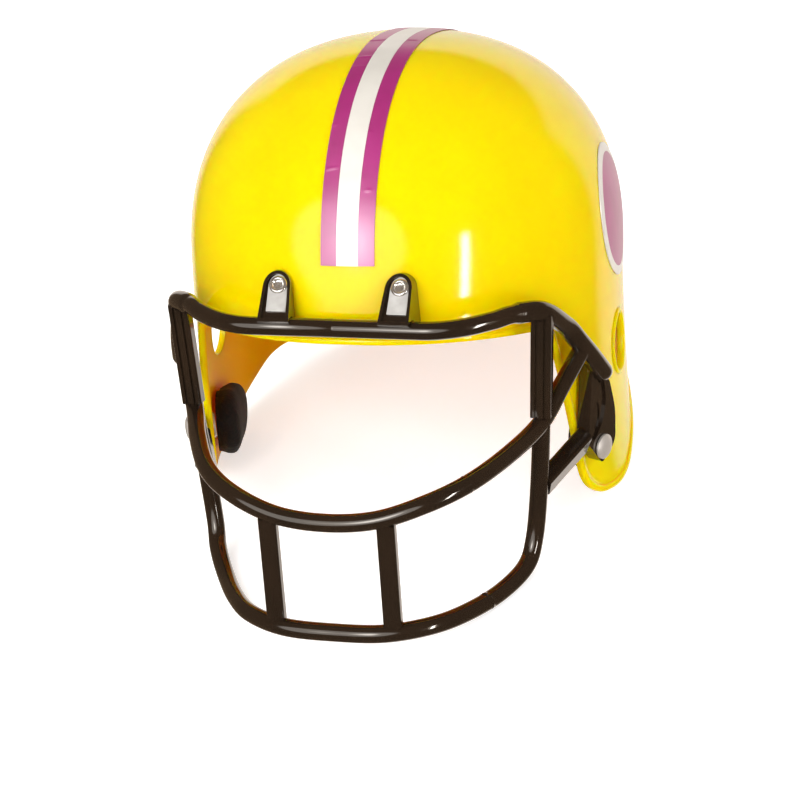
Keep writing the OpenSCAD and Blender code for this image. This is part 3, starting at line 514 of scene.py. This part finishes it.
# Guard bars, as in the part's own sizes
guardForm = dict(barRadius=4.0, railRadius=4.6, halfWidth=83, straight=74, bow=0.016, rise=0.003, middleY=-149.7,
                 middleDrop=52.5, chinSetback=6, chinDrop=103.5, railGap=3.6, railFrom=-34.3, railTo=-20.2,
                 railTopDrop=7.5, railEndZ=-9, cornerIn=1, cornerBack=31, cornerUp=2.5, collarIn=11)


def railPoint(t):  # the rail follows the shell at a gap
    form = guardForm
    height = mixed(barLine["z"] - form["railTopDrop"], form["railEndZ"], t)
    return skin(mixed(form["railFrom"], form["railTo"], t), height, -form["railGap"] - form["railRadius"])


def topHalf(steps):
    form = guardForm

    def front(d):  # the bar bows back beyond its straight middle
        return [form["straight"] / 2 + d, barLine["y"] + form["bow"] * d * d, barLine["z"] + form["rise"] * d * d]

    end = railPoint(1) - railPoint(0.8)
    end /= np.linalg.norm(end)
    half = [[0, barLine["y"], barLine["z"]]] + [front(d) for d in np.arange(0, 21.1, 3)]
    corner = [form["halfWidth"] - form["cornerIn"], barLine["y"] + form["cornerBack"],
              barLine["z"] + form["cornerUp"]]
    half += spline([front(21), front(28), front(35), corner, railPoint(0), railPoint(0.3), railPoint(0.65),
                    railPoint(1), railPoint(1) + 12 * end], steps)
    return half, end


def crossAt():  # where the chin bar's uprights meet the middle bar
    form = guardForm
    return [form["halfWidth"] - 3.5, form["middleY"] + 63.5, -form["middleDrop"] + 29.5]


def middleHalf(steps):
    form = guardForm
    y, z, w = form["middleY"], -form["middleDrop"], form["halfWidth"]
    joint, cross = railPoint(0.45), np.array(crossAt())
    lead = joint - cross
    return spline([[-22, y + 1.2, z + 2], [0, y, z], [22, y + 1.2, z + 2], [42, y + 6.5, z + 8.3],
                   [w - 25, y + 19.5, z + 14.5], [w - 12.5, y + 42, z + 21.5], cross, cross + lead / 2, joint,
                   joint + lead / 2], steps)


def chinHalf(steps):
    form = guardForm
    y, z, w = form["middleY"] + form["chinSetback"], -form["chinDrop"], form["halfWidth"]
    return spline([[-22, y + 1.2, z + 0.5], [0, y, z], [22, y + 1.2, z + 0.5], [40, y + 10, z + 2],
                   [w - 31, y + 24, z + 3.5], [w - 20, y + 42, z + 7], [w - 11.5, y + 56.5, z + 14.5],
                   [w - 8.5, y + 62.5, z + 26], [w - 6, y + 62, z + 49], crossAt(),
                   np.array(crossAt()) + [0, 0, 20]], steps)


def buildBars():
    form = guardForm
    size = dict(steps=10, collarLong=1.5, tipAngles=(25, 50, 70, 85))
    seams = dict(top=[(0, barLine["y"], barLine["z"]), (74.1, -102.3, 28.9)], middle=[(56.6, -131.9, -38.7)],
                 chin=[(58.8, -108.8, -98.3)])
    half, end = topHalf(size["steps"])
    tip = [half[-1] + end * form["railRadius"] * math.sin(math.radians(a)) for a in size["tipAngles"]]
    shrink = {len(half) + i: math.cos(math.radians(a)) for i, a in enumerate(size["tipAngles"])}
    half = [np.array(p, float) for p in half] + tip

    def topRadius(i):  # the bar grows to the rail at a collar, and the rail's tip is round
        j = abs(i - (len(half) - 1))
        past = half[j][0] - form["halfWidth"] + form["collarIn"]
        return mixed(form["barRadius"], form["railRadius"], eased(past / size["collarLong"])) * shrink.get(j, 1)

    def plainRadius(i):
        return form["barRadius"]

    for name, path, radiusAt in (("top", half, topRadius), ("middle", middleHalf(size["steps"]), plainRadius),
                                 ("chin", chinHalf(size["steps"]), plainRadius)):
        points, faces = sweep(*seamed(bothSides(path), radiusAt, seams[name]))
        newPiece(name + "BarMoulding", points, faces, guardPlastic, "guard", [name + "_bar"], "guard")


# Raised rims round the ear openings
def buildEarRims():
    form = shellForm
    size = dict(wide=2.2, high=1.0, turns=72)
    wide, high = size["wide"], size["high"]
    section = [(-0.15, 2.3), (-0.15, 0.2), (0.2, -0.75 * high), (0.75, -high), (0.55 * wide, -high),
               (0.85 * wide, -0.7 * high), (wide, -0.1), (wide + 0.1, 0.4)]  # out from the opening, and inset
    for side, name in ((1, "earRimLeft"), (-1, "earRimRight")):
        points = []
        for turn in fullTurn(size["turns"]):
            for out, inset in section:
                p = skinAt(form["earY"] + (form["earWide"] / 2 + out) * math.cos(turn),
                           form["earZ"] + (form["earHigh"] / 2 + out) * math.sin(turn), inset)
                points.append(mirroredTo(side, p))
        faces = []
        cols = len(section)
        for k in range(size["turns"]):
            here, beyond = k * cols, (k + 1) % size["turns"] * cols
            faces += [(here + c, here + c + 1, beyond + c + 1, beyond + c)[::side] for c in range(cols - 1)]
        newPiece(name, points, faces, shellPlastic, "helmet", ["shell"], "shell")


shellPiece = buildShell()
buildEarRims()
print("shell made")
buildBars()
print("bars made")


# Films over the crown
def buildFilms():
    form = shellForm
    size = dict(shift=4.3, middleWide=9.4, sideWide=6.9, frontZ=50.5, backDrop=16, thick=0.3, lift=0.14, rows=560,
                cols=8, crownShare=0.86, gap=0.04, creaseWide=0.55, sharp=50)
    inner, outer = size["middleWide"] / 2, size["middleWide"] / 2 + size["sideWide"]
    shift = size["shift"]
    strips = [("filmWhite", shift - inner, shift + inner, whiteFilm, "film_centre", "white_film"),
              ("filmPurpleLeft", shift + inner, shift + outer, purpleFilm, "film_left", "purple_film"),
              ("filmPurpleRight", shift - outer, shift - inner, purpleFilm, "film_right", "purple_film")]

    # creases from pressing a film down: way back from the brow, slant, height, and the part of the width they cross
    creases = dict(filmPurpleRight=[(132.4, 1.5, 0.3, 0, 1), (109.9, 1.0, 0.26, 0.05, 1), (100.2, 0.6, 0.2, 0.1, 0.9),
                                    (62.5, 0.8, 0.3, 0, 0.35), (41.5, 1.2, 0.3, 0.1, 0.8)],
                   filmPurpleLeft=[(133.5, 1.0, 0.3, 0.1, 0.7), (32, 0.5, 0.25, 0.35, 0.7), (74, 1.5, 0.2, 0, 0.3),
                                   (58, -1.2, 0.2, 0, 0.35)],
                   filmWhite=[(120.5, 1.0, 0.18, 0, 0.8)])

    def lowest(x):  # angle along the crown's profile at which the film starts over the brow
        aside = (x / form["halfWidth"]) ** 2
        out = fullness((size["frontZ"] - form["beltZ"]) / form["crown"]) ** 2
        return math.acos(min(1, math.sqrt(out - aside) / math.sqrt(1 - aside)))

    def onCrown(x, t, layer):  # t goes from the brow over the crown to the belt behind
        a = mixed(lowest(x), math.pi, t)
        reach = form["back"] if a > math.pi / 2 else form["front"]
        aside = x / (form["halfWidth"] + layer)
        return roof(x, form["widestY"] - (reach + layer) * math.sqrt(1 - aside ** 2) * math.cos(a), -layer)

    def onNape(x, t, layer):
        z = mixed(form["beltZ"], -size["backDrop"], t)
        return skin(math.degrees(math.acos(x / (form["halfWidth"] + layer - drawnIn(90, z)))), z, -layer)

    rows, cols, share = size["rows"] + 1, size["cols"] + 1, size["crownShare"]
    for name, low, high, material, node, slot in strips:
        points = []
        for layer in (size["lift"], size["lift"] + size["thick"]):
            for t in [i / size["rows"] for i in range(rows)]:
                for x in [mixed(low + size["gap"], high - size["gap"], k / size["cols"]) for k in range(cols)]:
                    if t < share:
                        points.append(onCrown(x, t / share, layer))
                    else:
                        points.append(onNape(x, (t - share) / (1 - share), layer))
        n = rows * cols
        face = np.array(points[n:], float).reshape(rows, cols, 3)
        raised = face - np.array(points[:n], float).reshape(rows, cols, 3)
        far = np.concatenate([[0], np.cumsum(np.linalg.norm(np.diff(face[:, cols // 2], axis=0), axis=1))])
        across = np.linspace(0, 1, cols)
        rise = np.zeros((rows, cols))
        for place, slant, height, first, last in creases[name]:
            off = (far[:, None] - place - slant * (across[None] - 0.5)) / size["creaseWide"]
            rise += height * np.exp(-off ** 2) * ((across > first - 0.01) & (across < last + 0.01))
        face += raised / size["thick"] * rise[:, :, None]
        points[n:] = list(face.reshape(-1, 3))
        faces = [f[::-1] for f in gridFaces(rows, cols, False)] + gridFaces(rows, cols, False, n)
        rim = [r * cols for r in range(rows)] + list(range(n - cols + 1, n))  # once round the film
        rim += [r * cols - 1 for r in range(rows - 1, 0, -1)] + list(range(cols - 2, 0, -1))
        faces += [(a, b, n + b, n + a) for a, b in zip(rim, rim[1:] + rim[:1])]
        smoothed(newPiece(name, points, faces, material, "helmet", [node], slot), size["sharp"])


buildFilms()
print("films made")


# Round badges on the sides: a plain disc in a pale border
def buildBadges():
    size = dict(y=1, z=55, disc=25.95, borderIn=26, borderOut=30, lift=0.12, thick=0.4, turns=96, rings=8, sharp=40)
    turns, borderIn, borderOut = size["turns"], size["borderIn"], size["borderOut"]

    def ring(radius, lift):
        return [skinAt(size["y"] + radius * math.cos(a), size["z"] + radius * math.sin(a), -lift)
                for a in fullTurn(turns)]

    low, high = size["lift"], size["lift"] + size["thick"]
    disc = [ring(size["disc"] * k / size["rings"], high) for k in range(1, size["rings"] + 1)]
    disc.append(ring(size["disc"] + 0.03, mixed(low, high, 0.5)))
    border = [ring(borderIn - 0.03, mixed(low, high, 0.4)), ring(borderIn, high),
              ring(mixed(borderIn, borderOut, 0.5), high), ring(borderOut, high),
              ring(borderOut + 0.05, mixed(low, high, 0.4)), ring(borderOut + 0.05, low)]
    for side, name in ((1, "left"), (-1, "right")):
        for rings, material, piece, node, slot in (
                (disc, purpleFilm, "badge", "badge_", "purple_film"),
                (border, whiteFilm, "badgeBorder", "badge_border_", "white_film")):
            points = [mirroredTo(side, p) for r in rings for p in r]
            faces = [f[::-side] for f in gridFaces(len(rings), turns, True)]
            if piece == "badge":
                points.append(mirroredTo(side, skinAt(size["y"], size["z"], -high)))
                faces += [(k, (k + 1) % turns, len(points) - 1)[::side] for k in range(turns)]
            made = newPiece(piece + name.capitalize(), points, faces, material, "helmet", [node + name], slot)
            smoothed(made, size["sharp"])


def lathe(profile, origin, axis, turns=48):  # profile points are distance along the axis and radius
    axis = np.array(axis) / np.linalg.norm(axis)
    side = np.cross(axis, [0, 0, 1.0])
    side /= np.linalg.norm(side)
    other = np.cross(axis, side)
    points = []
    for along, radius in profile:
        points += [np.array(origin) + axis * along + (side * math.cos(a) + other * math.sin(a)) * radius
                   for a in fullTurn(turns)]
    return points, gridFaces(len(profile), turns, True)


# Brow clips: arched tabs whose flat faces slope out to a hook over the bar, each with a bright plate and a rivet
def buildClips():
    size = dict(halfGap=27, z=41, turn=-3, top=6.6, archRadius=6, archZ=0.6, wide=7.5, foot=-22.2, faceTop=2.2,
                footX=14.7, footZ=-12.5, hookRadius=6.25, hookMouth=3, barRoom=4.3, backX=-3, backOff=0.45, rim=1.3,
                pocket=1.5, lip=1.5, plateWide=4.3, plateShort=3.2, plateTop=0.55, plateThick=0.8, plateArchUp=0.5,
                plateShift=0.7, rivetZ=1.3, edge=0.45, plateEdge=0.1, sharp=30, rivetSharp=50)
    # the rivet's turned form, as distance along its axis and radius: its rolled head, and its end in the shell
    head = [(-0.3, 2.2), (0, 3.9), (0.1, 4), (0.4, 4), (0.75, 3.86), (1.05, 3.55), (1.2, 3.15), (1.22, 2.8),
            (1.1, 2.5), (0.8, 2.25), (0.45, 2.05), (0.25, 1.7), (0.18, 1.1), (0.16, 0.02)]
    tail = [(-5.8, 0.9), (-5.8, 2.7), (-5.6, 2.95), (-5.2, 3), (-4.8, 2.8), (-4.7, 2), (-1, 2)]

    # the clip's own frame: out from the brow, along it, and up, from where the rivet goes in; the solids that it is
    # cut from and with reach well past it
    form = shellForm
    start = skin(-math.degrees(math.acos(size["halfGap"] / form["halfWidth"])), size["z"])
    turn = math.radians(size["turn"])
    out, along = np.array([math.sin(turn), -math.cos(turn), 0]), np.array([math.cos(turn), math.sin(turn), 0])
    up = np.array([0, 0, 1.0])
    barX, barZ = (start[1] - barLine["y"]) / math.cos(turn), barLine["z"] - start[2]
    face = np.array([size["footX"] - size["faceTop"], size["footZ"] - size["top"]])
    face /= np.linalg.norm(face)
    faceDown, faceOut = out * face[0] + up * face[1], -out * face[1] + up * face[0]
    faceStart = start + out * size["faceTop"] + up * size["top"]

    def atProfile(x, z, y=0.0):
        return start + out * x + up * z + along * y

    def onFace(y, z, deep=0.0):  # a point of the sloping face by its height, sunk by deep
        return faceStart + faceDown * ((z - size["top"]) / face[1]) - faceOut * deep + along * y

    def arch(radius, z):
        return [(radius * math.cos(math.radians(a)), z + radius * math.sin(math.radians(a)))
                for a in range(0, 181, 9)]

    def outline(inset, foot):
        ease = (foot - size["archZ"]) / (size["foot"] - size["archZ"])
        width = mixed(size["archRadius"] - inset, size["wide"] - inset, ease)
        return [(-width, foot), (width, foot)] + arch(size["archRadius"] - inset, size["archZ"])

    def hook(radius, first, last, step):  # an arc round the bar's line, in degrees up from straight out
        return [(barX + radius * math.cos(math.radians(a)), barZ + radius * math.sin(math.radians(a)))
                for a in range(first, last, step)]

    profile = [(size["backX"], size["top"] + 1), (size["faceTop"] + face[0] / face[1], size["top"] + 1),
               (size["footX"], size["footZ"])]
    profile += hook(size["hookRadius"], 32, 29, -2) + hook(size["hookMouth"], 30, 221, 10)
    profile += hook(size["hookRadius"], 220, 150, -10) + [(size["backX"], barZ)]
    body = prism([atProfile(x, z, -12) for x, z in profile], along * 24)
    front = prism([atProfile(-6, z, y) for y, z in outline(0, size["foot"])], out * 30)
    bar = prism([(0, barLine["y"] + size["barRoom"] * math.cos(a), barLine["z"] + size["barRoom"] * math.sin(a))
                 for a in fullTurn(48)], (60, 0, 0))
    back = skinAt(start[1], start[2], -size["backOff"])
    lean = math.atan2((start[1] - form["widestY"]) / form["front"] ** 2, start[0] / form["halfWidth"] ** 2)
    away = np.array([math.cos(lean), math.sin(lean), 0])
    beside = np.array([-math.sin(lean), math.cos(lean), 0])
    corners = ((-20, -30), (20, -30), (20, 20), (-20, 20))
    wallBox = prism([back + beside * y + up * z - away * 20 for y, z in corners], away * 20)
    lipZ = size["footZ"] + size["lip"] * -face[1]
    pocket = prism([onFace(y, z, size["pocket"]) for y, z in outline(size["rim"], lipZ)], faceOut * 6)
    plateZ, half = lipZ + size["plateShort"] * -face[1], size["plateWide"]
    plateRing = [(-half, plateZ), (half, plateZ)] + arch(half, size["archZ"] + size["plateArchUp"])
    platePoints, plateFaces = prism([onFace(y, z, size["plateTop"] + size["plateThick"]) for y, z in plateRing],
                                    faceOut * size["plateThick"])
    headPoints, headFaces = lathe(head, onFace(0, size["rivetZ"], size["plateTop"]), faceOut)
    tailPoints, tailFaces = lathe(tail, start, out)
    rivetFaces = headFaces + [tuple(len(headPoints) + v for v in f) for f in tailFaces]

    def sided(solid, side):
        points, faces = solid
        return [mirroredTo(side, p) for p in points], [f[::side] for f in faces]

    for side, name in ((1, "left"), (-1, "right")):
        clip = newPiece("browClip" + name.capitalize(), *sided(body, side), guardPlastic, "helmet", ["clip_" + name],
                        "guard")
        carved(clip, [("INTERSECT", sided(front, side)), ("DIFFERENCE", sided(bar, side)),
                      ("DIFFERENCE", sided(wallBox, side)), ("DIFFERENCE", sided(pocket, side))])
        clip.data.materials.clear()
        clip.data.materials.append(guardPlastic)
        softened(clip, size["edge"], size["sharp"])
        shifted = np.array([size["plateShift"], 0, 0]) * side
        plate = newPiece("clipPlate" + name.capitalize(),
                         *sided((np.array(platePoints) + shifted, plateFaces), side), platedSteelPaintedReflection, "helmet",
                         ["clip_strap_" + name], "bright_steel")
        softened(plate, size["plateEdge"], size["sharp"])
        rivetPoints = [p + shifted for p in headPoints] + tailPoints
        rivet = newPiece("browRivet" + name.capitalize(), *sided((rivetPoints, rivetFaces), side), rivetSteel,
                         "helmet", ["clip_rivets"], "bright_steel")
        smoothed(rivet, size["rivetSharp"])


# Foam pads: blown up a little by a cloth simulation, then pressed flat on their beds
def buildPads():
    size = dict(voxel=4, pressure=4, frames=20, mostMove=2.2, startWide=0.93, startDeep=0.8, turns=40, power=3,
                pressed=0.13)
    section = [(0.45, 0.03), (0.9, 0.03), (1, 0.2), (1, 0.55), (0.93, 0.8), (0.78, 0.92), (0.5, 0.98), (0.22, 1)]
    # middle and half size on the skin, thickness, and how far the pad stands off the wall
    jaw = dict(y=-14, z=-48, half=(22, 18), thick=15, off=1.85)
    brow = dict(z=68, half=(40, 17), thick=12, off=0.45)
    nape = dict(z=12, half=(38, 24), thick=12, off=0.45)
    crown = dict(y=2, half=(36, 46), thick=12, off=0.45)
    walls = BVHTree.FromPolygons([v.co.copy() for v in shellPiece.data.vertices],
                                 [tuple(p.vertices) for p in shellPiece.data.polygons])

    def rounded(value):
        return math.copysign(abs(value) ** (2 / size["power"]), value)

    def blown(pad):  # swells the pad, holding each point's move, then evens and refines it
        remesh = pad.modifiers.new("evenMesh", "REMESH")
        remesh.mode = "VOXEL"
        remesh.voxel_size = size["voxel"] / 1000
        pad.data = applied(pad)
        pad.modifiers.clear()
        start = [v.co.copy() for v in pad.data.vertices]
        cloth = pad.modifiers.new("blownUp", "CLOTH")
        cloth.settings.use_pressure = True
        cloth.settings.uniform_pressure_force = size["pressure"]
        cloth.settings.effector_weights.gravity = 0
        cloth.collision_settings.use_collision = False
        cloth.point_cache.frame_start, cloth.point_cache.frame_end = 1, size["frames"]
        for number in range(1, size["frames"] + 1):
            bpy.context.scene.frame_set(number)
        swollen = pad.evaluated_get(bpy.context.evaluated_depsgraph_get())
        ends = [v.co.copy() for v in swollen.data.vertices]
        pad.modifiers.clear()
        bpy.context.scene.frame_set(1)
        for vertex, begun, ended in zip(pad.data.vertices, start, ends):
            move = ended - begun
            vertex.co = begun + move * min(1, size["mostMove"] / 1000 / max(move.length, 1e-9))
        even = pad.modifiers.new("evened", "SMOOTH")
        even.iterations = 3
        finer = pad.modifiers.new("finer", "SUBSURF")
        finer.levels = finer.render_levels = 1
        pad.data = applied(pad)
        pad.modifiers.clear()

    def makePad(name, node, place, form, side=1):
        points = []
        half, thick, bed = form["half"], form["thick"], shellForm["wall"] + form["off"]

        def put(u, v, h):
            points.append(mirroredTo(side, place(u * half[0], v * half[1], bed + thick * size["startDeep"] * h)))

        for out, h in section:
            reach = out * size["startWide"]
            for a in fullTurn(size["turns"]):
                put(reach * rounded(math.cos(a)), reach * rounded(math.sin(a)), h)
        put(0, 0, section[0][1])
        put(0, 0, section[-1][1])
        n, turns, last = len(points), size["turns"], (len(section) - 1) * size["turns"]
        faces = gridFaces(len(section), turns, True)
        faces += [((k + 1) % turns, k, n - 2) for k in range(turns)]
        faces += [(last + k, last + (k + 1) % turns, n - 1) for k in range(turns)]
        pad = newPiece(name, points, [f[::side] for f in faces], foam, "helmet", [node], "foam")
        blown(pad)
        rest = form["off"] / 1000
        for vertex in pad.data.vertices:
            near, normal, index, far = walls.find_nearest(vertex.co)
            if far < rest + thick * size["pressed"] / 1000:
                vertex.co = near + (vertex.co - near).normalized() * rest
        pad.data.materials.clear()
        pad.data.materials.append(foam)
        smoothed(pad)

    for side, name in ((1, "left"), (-1, "right")):
        makePad("jawPad" + name.capitalize(), "jaw_pad_" + name,
                lambda u, v, h: skinAt(jaw["y"] + u, jaw["z"] + v, h), jaw, side)
    makePad("browPad", "brow_pad", lambda u, v, h: skin(-90 + u / girth, brow["z"] + v, h), brow)
    makePad("napePad", "nape_pad", lambda u, v, h: skin(90 + u / girth, nape["z"] + v, h), nape)
    makePad("crownPad", "crown_pad", lambda u, v, h: roof(u, crown["y"] + v, h), crown)


buildBadges()
buildClips()
print("badges and clips made")
buildPads()
print("pads made")


# CAD pieces that keep their own shape: softened edges and a finish
def dressKeptPieces():
    size = dict(edge=0.45, sharp=35)

    def dress(node, material, edge=0):
        piece = frame["nodes"][node]
        piece.data.materials.clear()
        piece.data.materials.append(material)
        if edge:
            softened(piece, edge, size["sharp"]).harden_normals = True
        else:
            smoothed(piece, size["sharp"])

    for side in ("left", "right"):
        for node in ("face_post_", "mouth_post_", "side_plate_", "strut_"):
            dress(node + side, guardPlastic, size["edge"])
        dress("stud_cap_" + side, capMetal)
    for node in ("rivet_washers", "flap_studs"):
        # the washers and studs share the plates' half-matt steel and its painted reflection
        dress(node, platedSteelPaintedReflection)


dressKeptPieces()
print("kept pieces dressed")


# Camera, solved in the level frame: angles in radians, lengths in millimetres
def buildCamera():
    view = dict(turn=0.27658, rise=0.2618, roll=0.0333, distance=1087.84, aside=6.435, above=37.839,
                focalPixels=2300, pictureWide=800, sensorWide=36)
    turn, rise = view["turn"], view["rise"]
    back = Vector((math.sin(turn) * math.cos(rise), -math.cos(turn) * math.cos(rise), math.sin(rise)))
    right = Vector((math.cos(turn), math.sin(turn), 0))
    up = back.cross(right)
    c, s = math.cos(view["roll"]), math.sin(view["roll"])
    right, up = right * c - up * s, right * s + up * c
    place = right * -view["aside"] + up * -view["above"] + back * view["distance"]
    turned = Matrix((right, up, back)).transposed()
    camera = newObject("camera", bpy.data.cameras.new("camera"))
    camera.matrix_world = Matrix.Translation(placed(place)) @ (tipBack @ turned).to_4x4()
    camera.data.sensor_width = view["sensorWide"]
    camera.data.lens = view["focalPixels"] / view["pictureWide"] * view["sensorWide"]
    bpy.context.scene.camera = camera


# World: soft light, white to the camera, and in reflections a dim warm room with a pale backdrop behind the helmet
def buildWorld():
    glow = dict(soft=0.41, seen=1.0, room=0.22, backdrop=1.0)
    tint = dict(room="#d8b48e", backdrop="#fff2e6")
    behind = dict(slant=1.12, blur=0.12, full=0.19, gone=0.3)  # which directions meet the backdrop
    world = bpy.data.worlds.new("paleStudio")
    bpy.context.scene.world = world
    world.use_nodes = True
    tree = world.node_tree
    tree.nodes.clear()
    path = addNode(tree, "ShaderNodeLightPath")
    seen = addNode(tree, "ShaderNodeMath", {"operation": "MAXIMUM"},
                   {0: path.outputs["Is Camera Ray"], 1: path.outputs["Is Transmission Ray"]})
    soft = addNode(tree, "ShaderNodeBackground", {"Color": (1, 1, 1, 1), "Strength": glow["soft"]})
    generated = addNode(tree, "ShaderNodeTexCoord").outputs["Generated"]
    way = addNode(tree, "ShaderNodeSeparateXYZ", {}, {0: generated})
    beside = addNode(tree, "ShaderNodeMath", {"operation": "ABSOLUTE"}, {0: way.outputs["X"]})
    inward = addNode(tree, "ShaderNodeMath", {"operation": "MULTIPLY_ADD", 1: -behind["slant"]},
                     {0: beside, 2: way.outputs["Y"]})
    away = addNode(tree, "ShaderNodeMapRange",
                   {"interpolation_type": "SMOOTHSTEP", "From Min": -behind["blur"], "From Max": behind["blur"]},
                   {"Value": inward})
    low = addNode(tree, "ShaderNodeMapRange",
                  {"interpolation_type": "SMOOTHSTEP", "From Min": behind["gone"], "From Max": behind["full"]},
                  {"Value": way.outputs["Z"]})
    both = addNode(tree, "ShaderNodeMath", {"operation": "MULTIPLY"}, {0: away, 1: low})
    room = addNode(tree, "ShaderNodeBackground", {"Color": linearColour(tint["room"]), "Strength": glow["room"]})
    backdrop = addNode(tree, "ShaderNodeBackground",
                       {"Color": linearColour(tint["backdrop"]), "Strength": glow["backdrop"]})
    mirrored = addNode(tree, "ShaderNodeMixShader", {}, {0: both, 1: room, 2: backdrop})
    white = addNode(tree, "ShaderNodeBackground", {"Color": (1, 1, 1, 1), "Strength": glow["seen"]})
    unseen = addNode(tree, "ShaderNodeMixShader", {}, {0: path.outputs["Is Glossy Ray"], 1: soft, 2: mirrored})
    shown = addNode(tree, "ShaderNodeMixShader", {}, {0: seen, 1: unseen, 2: white})
    addNode(tree, "ShaderNodeOutputWorld", {}, {"Surface": shown})


# Floor: pale matt paint that looks white and keeps the shadow; clear from below, so that the underside can be seen
def buildFloor():
    size = dict(reach=6, gap=0.0001, paint="#f0f0f0", glow=0.6)
    r = size["reach"]
    floor = newMesh("floor", [(-r, -r, 0), (r, -r, 0), (r, r, 0), (-r, r, 0)], [(0, 1, 2, 3)])
    floor.location.z = cadBox[0][2] - size["gap"]
    floor.visible_glossy = False
    material, tree = newMaterial("paintedFloor")
    path = addNode(tree, "ShaderNodeLightPath")
    glow = addNode(tree, "ShaderNodeMath", {"operation": "MULTIPLY", 1: size["glow"]},
                   {0: path.outputs["Is Camera Ray"]})
    paint = addNode(tree, "ShaderNodeBsdfDiffuse", {"Color": linearColour(size["paint"])})
    lit = addNode(tree, "ShaderNodeEmission", {"Color": (1, 1, 1, 1)}, {"Strength": glow})
    above = addNode(tree, "ShaderNodeAddShader", {}, {0: paint, 1: lit})
    below = addNode(tree, "ShaderNodeNewGeometry").outputs["Backfacing"]
    clear = addNode(tree, "ShaderNodeBsdfTransparent")
    sided = addNode(tree, "ShaderNodeMixShader", {}, {0: below, 1: above, 2: clear})
    addNode(tree, "ShaderNodeOutputMaterial", {}, {"Surface": sided})
    floor.data.materials.append(material)


# A rectangular lamp that looks at the helmet from an azimuth and elevation in degrees and a distance in metres.
# lights says whether it lights matt surfaces, mirrored whether glossy ones show it.
def softbox(name, azimuth, elevation, far, wide, high, power, lights=True, mirrored=False, faded=None, lean=0):
    aim = placed((0, -10, 20))
    lamp = bpy.data.lights.new(name, "AREA")
    lamp.shape = "RECTANGLE"
    lamp.size = wide
    lamp.size_y = high
    lamp.energy = power
    holder = newObject(name, lamp)
    holder.visible_glossy = mirrored
    holder.visible_diffuse = lights
    if faded is not None:  # bright in its middle and dark at its rim, so that its reflection has no edge
        lamp.use_nodes = True
        tree = lamp.node_tree
        place = addNode(tree, "ShaderNodeNewGeometry").outputs["Parametric"]
        off = addNode(tree, "ShaderNodeVectorMath", {"operation": "DISTANCE", 1: (0.5, 0.5, 0)}, {0: place})
        fade = addNode(tree, "ShaderNodeMapRange",
                       {"interpolation_type": "SMOOTHERSTEP", "From Min": 0.5, "From Max": faded},
                       {"Value": off.outputs["Value"]})
        tree.links.new(fade.outputs["Result"], tree.nodes["Emission"].inputs["Strength"])
    a, e = math.radians(azimuth), math.radians(elevation)
    holder.location = aim + far * Vector((math.sin(a) * math.cos(e), -math.cos(a) * math.cos(e), math.sin(e)))
    facing = (holder.location - aim).to_track_quat("Z", "Y")
    facing.rotate(Quaternion(holder.location - aim, math.radians(lean)))
    holder.rotation_euler = facing.to_euler()


# Key, fill and top light the helmet; glare and core are only its broad reflection, the strip also its streak
def buildLamps():
    lamps = dict(
        keyBox=dict(azimuth=-12, elevation=32, far=1.5, wide=0.9, high=0.9, power=15.8),
        glareBox=dict(azimuth=-12, elevation=26, far=1.5, wide=2.2, high=1.5, power=17, lights=False,
                      mirrored=True, faded=0.36),
        coreBox=dict(azimuth=-6, elevation=27, far=1.5, wide=0.75, high=0.9, power=17, lights=False,
                     mirrored=True, faded=0.0),
        stripBox=dict(azimuth=54, elevation=8.5, far=1.5, wide=0.11, high=0.62, power=5.5, mirrored=True,
                      lean=-19),
        fillBox=dict(azimuth=100, elevation=30, far=1.8, wide=1.0, high=1.0, power=6.9),
        topBox=dict(azimuth=-60, elevation=65, far=1.6, wide=1.0, high=1.0, power=8.3))
    for name, lamp in lamps.items():
        softbox(name, **lamp)


buildCamera()
bpy.context.scene.view_settings.view_transform = "Standard"
buildWorld()
buildFloor()
buildLamps()
print("studio made")
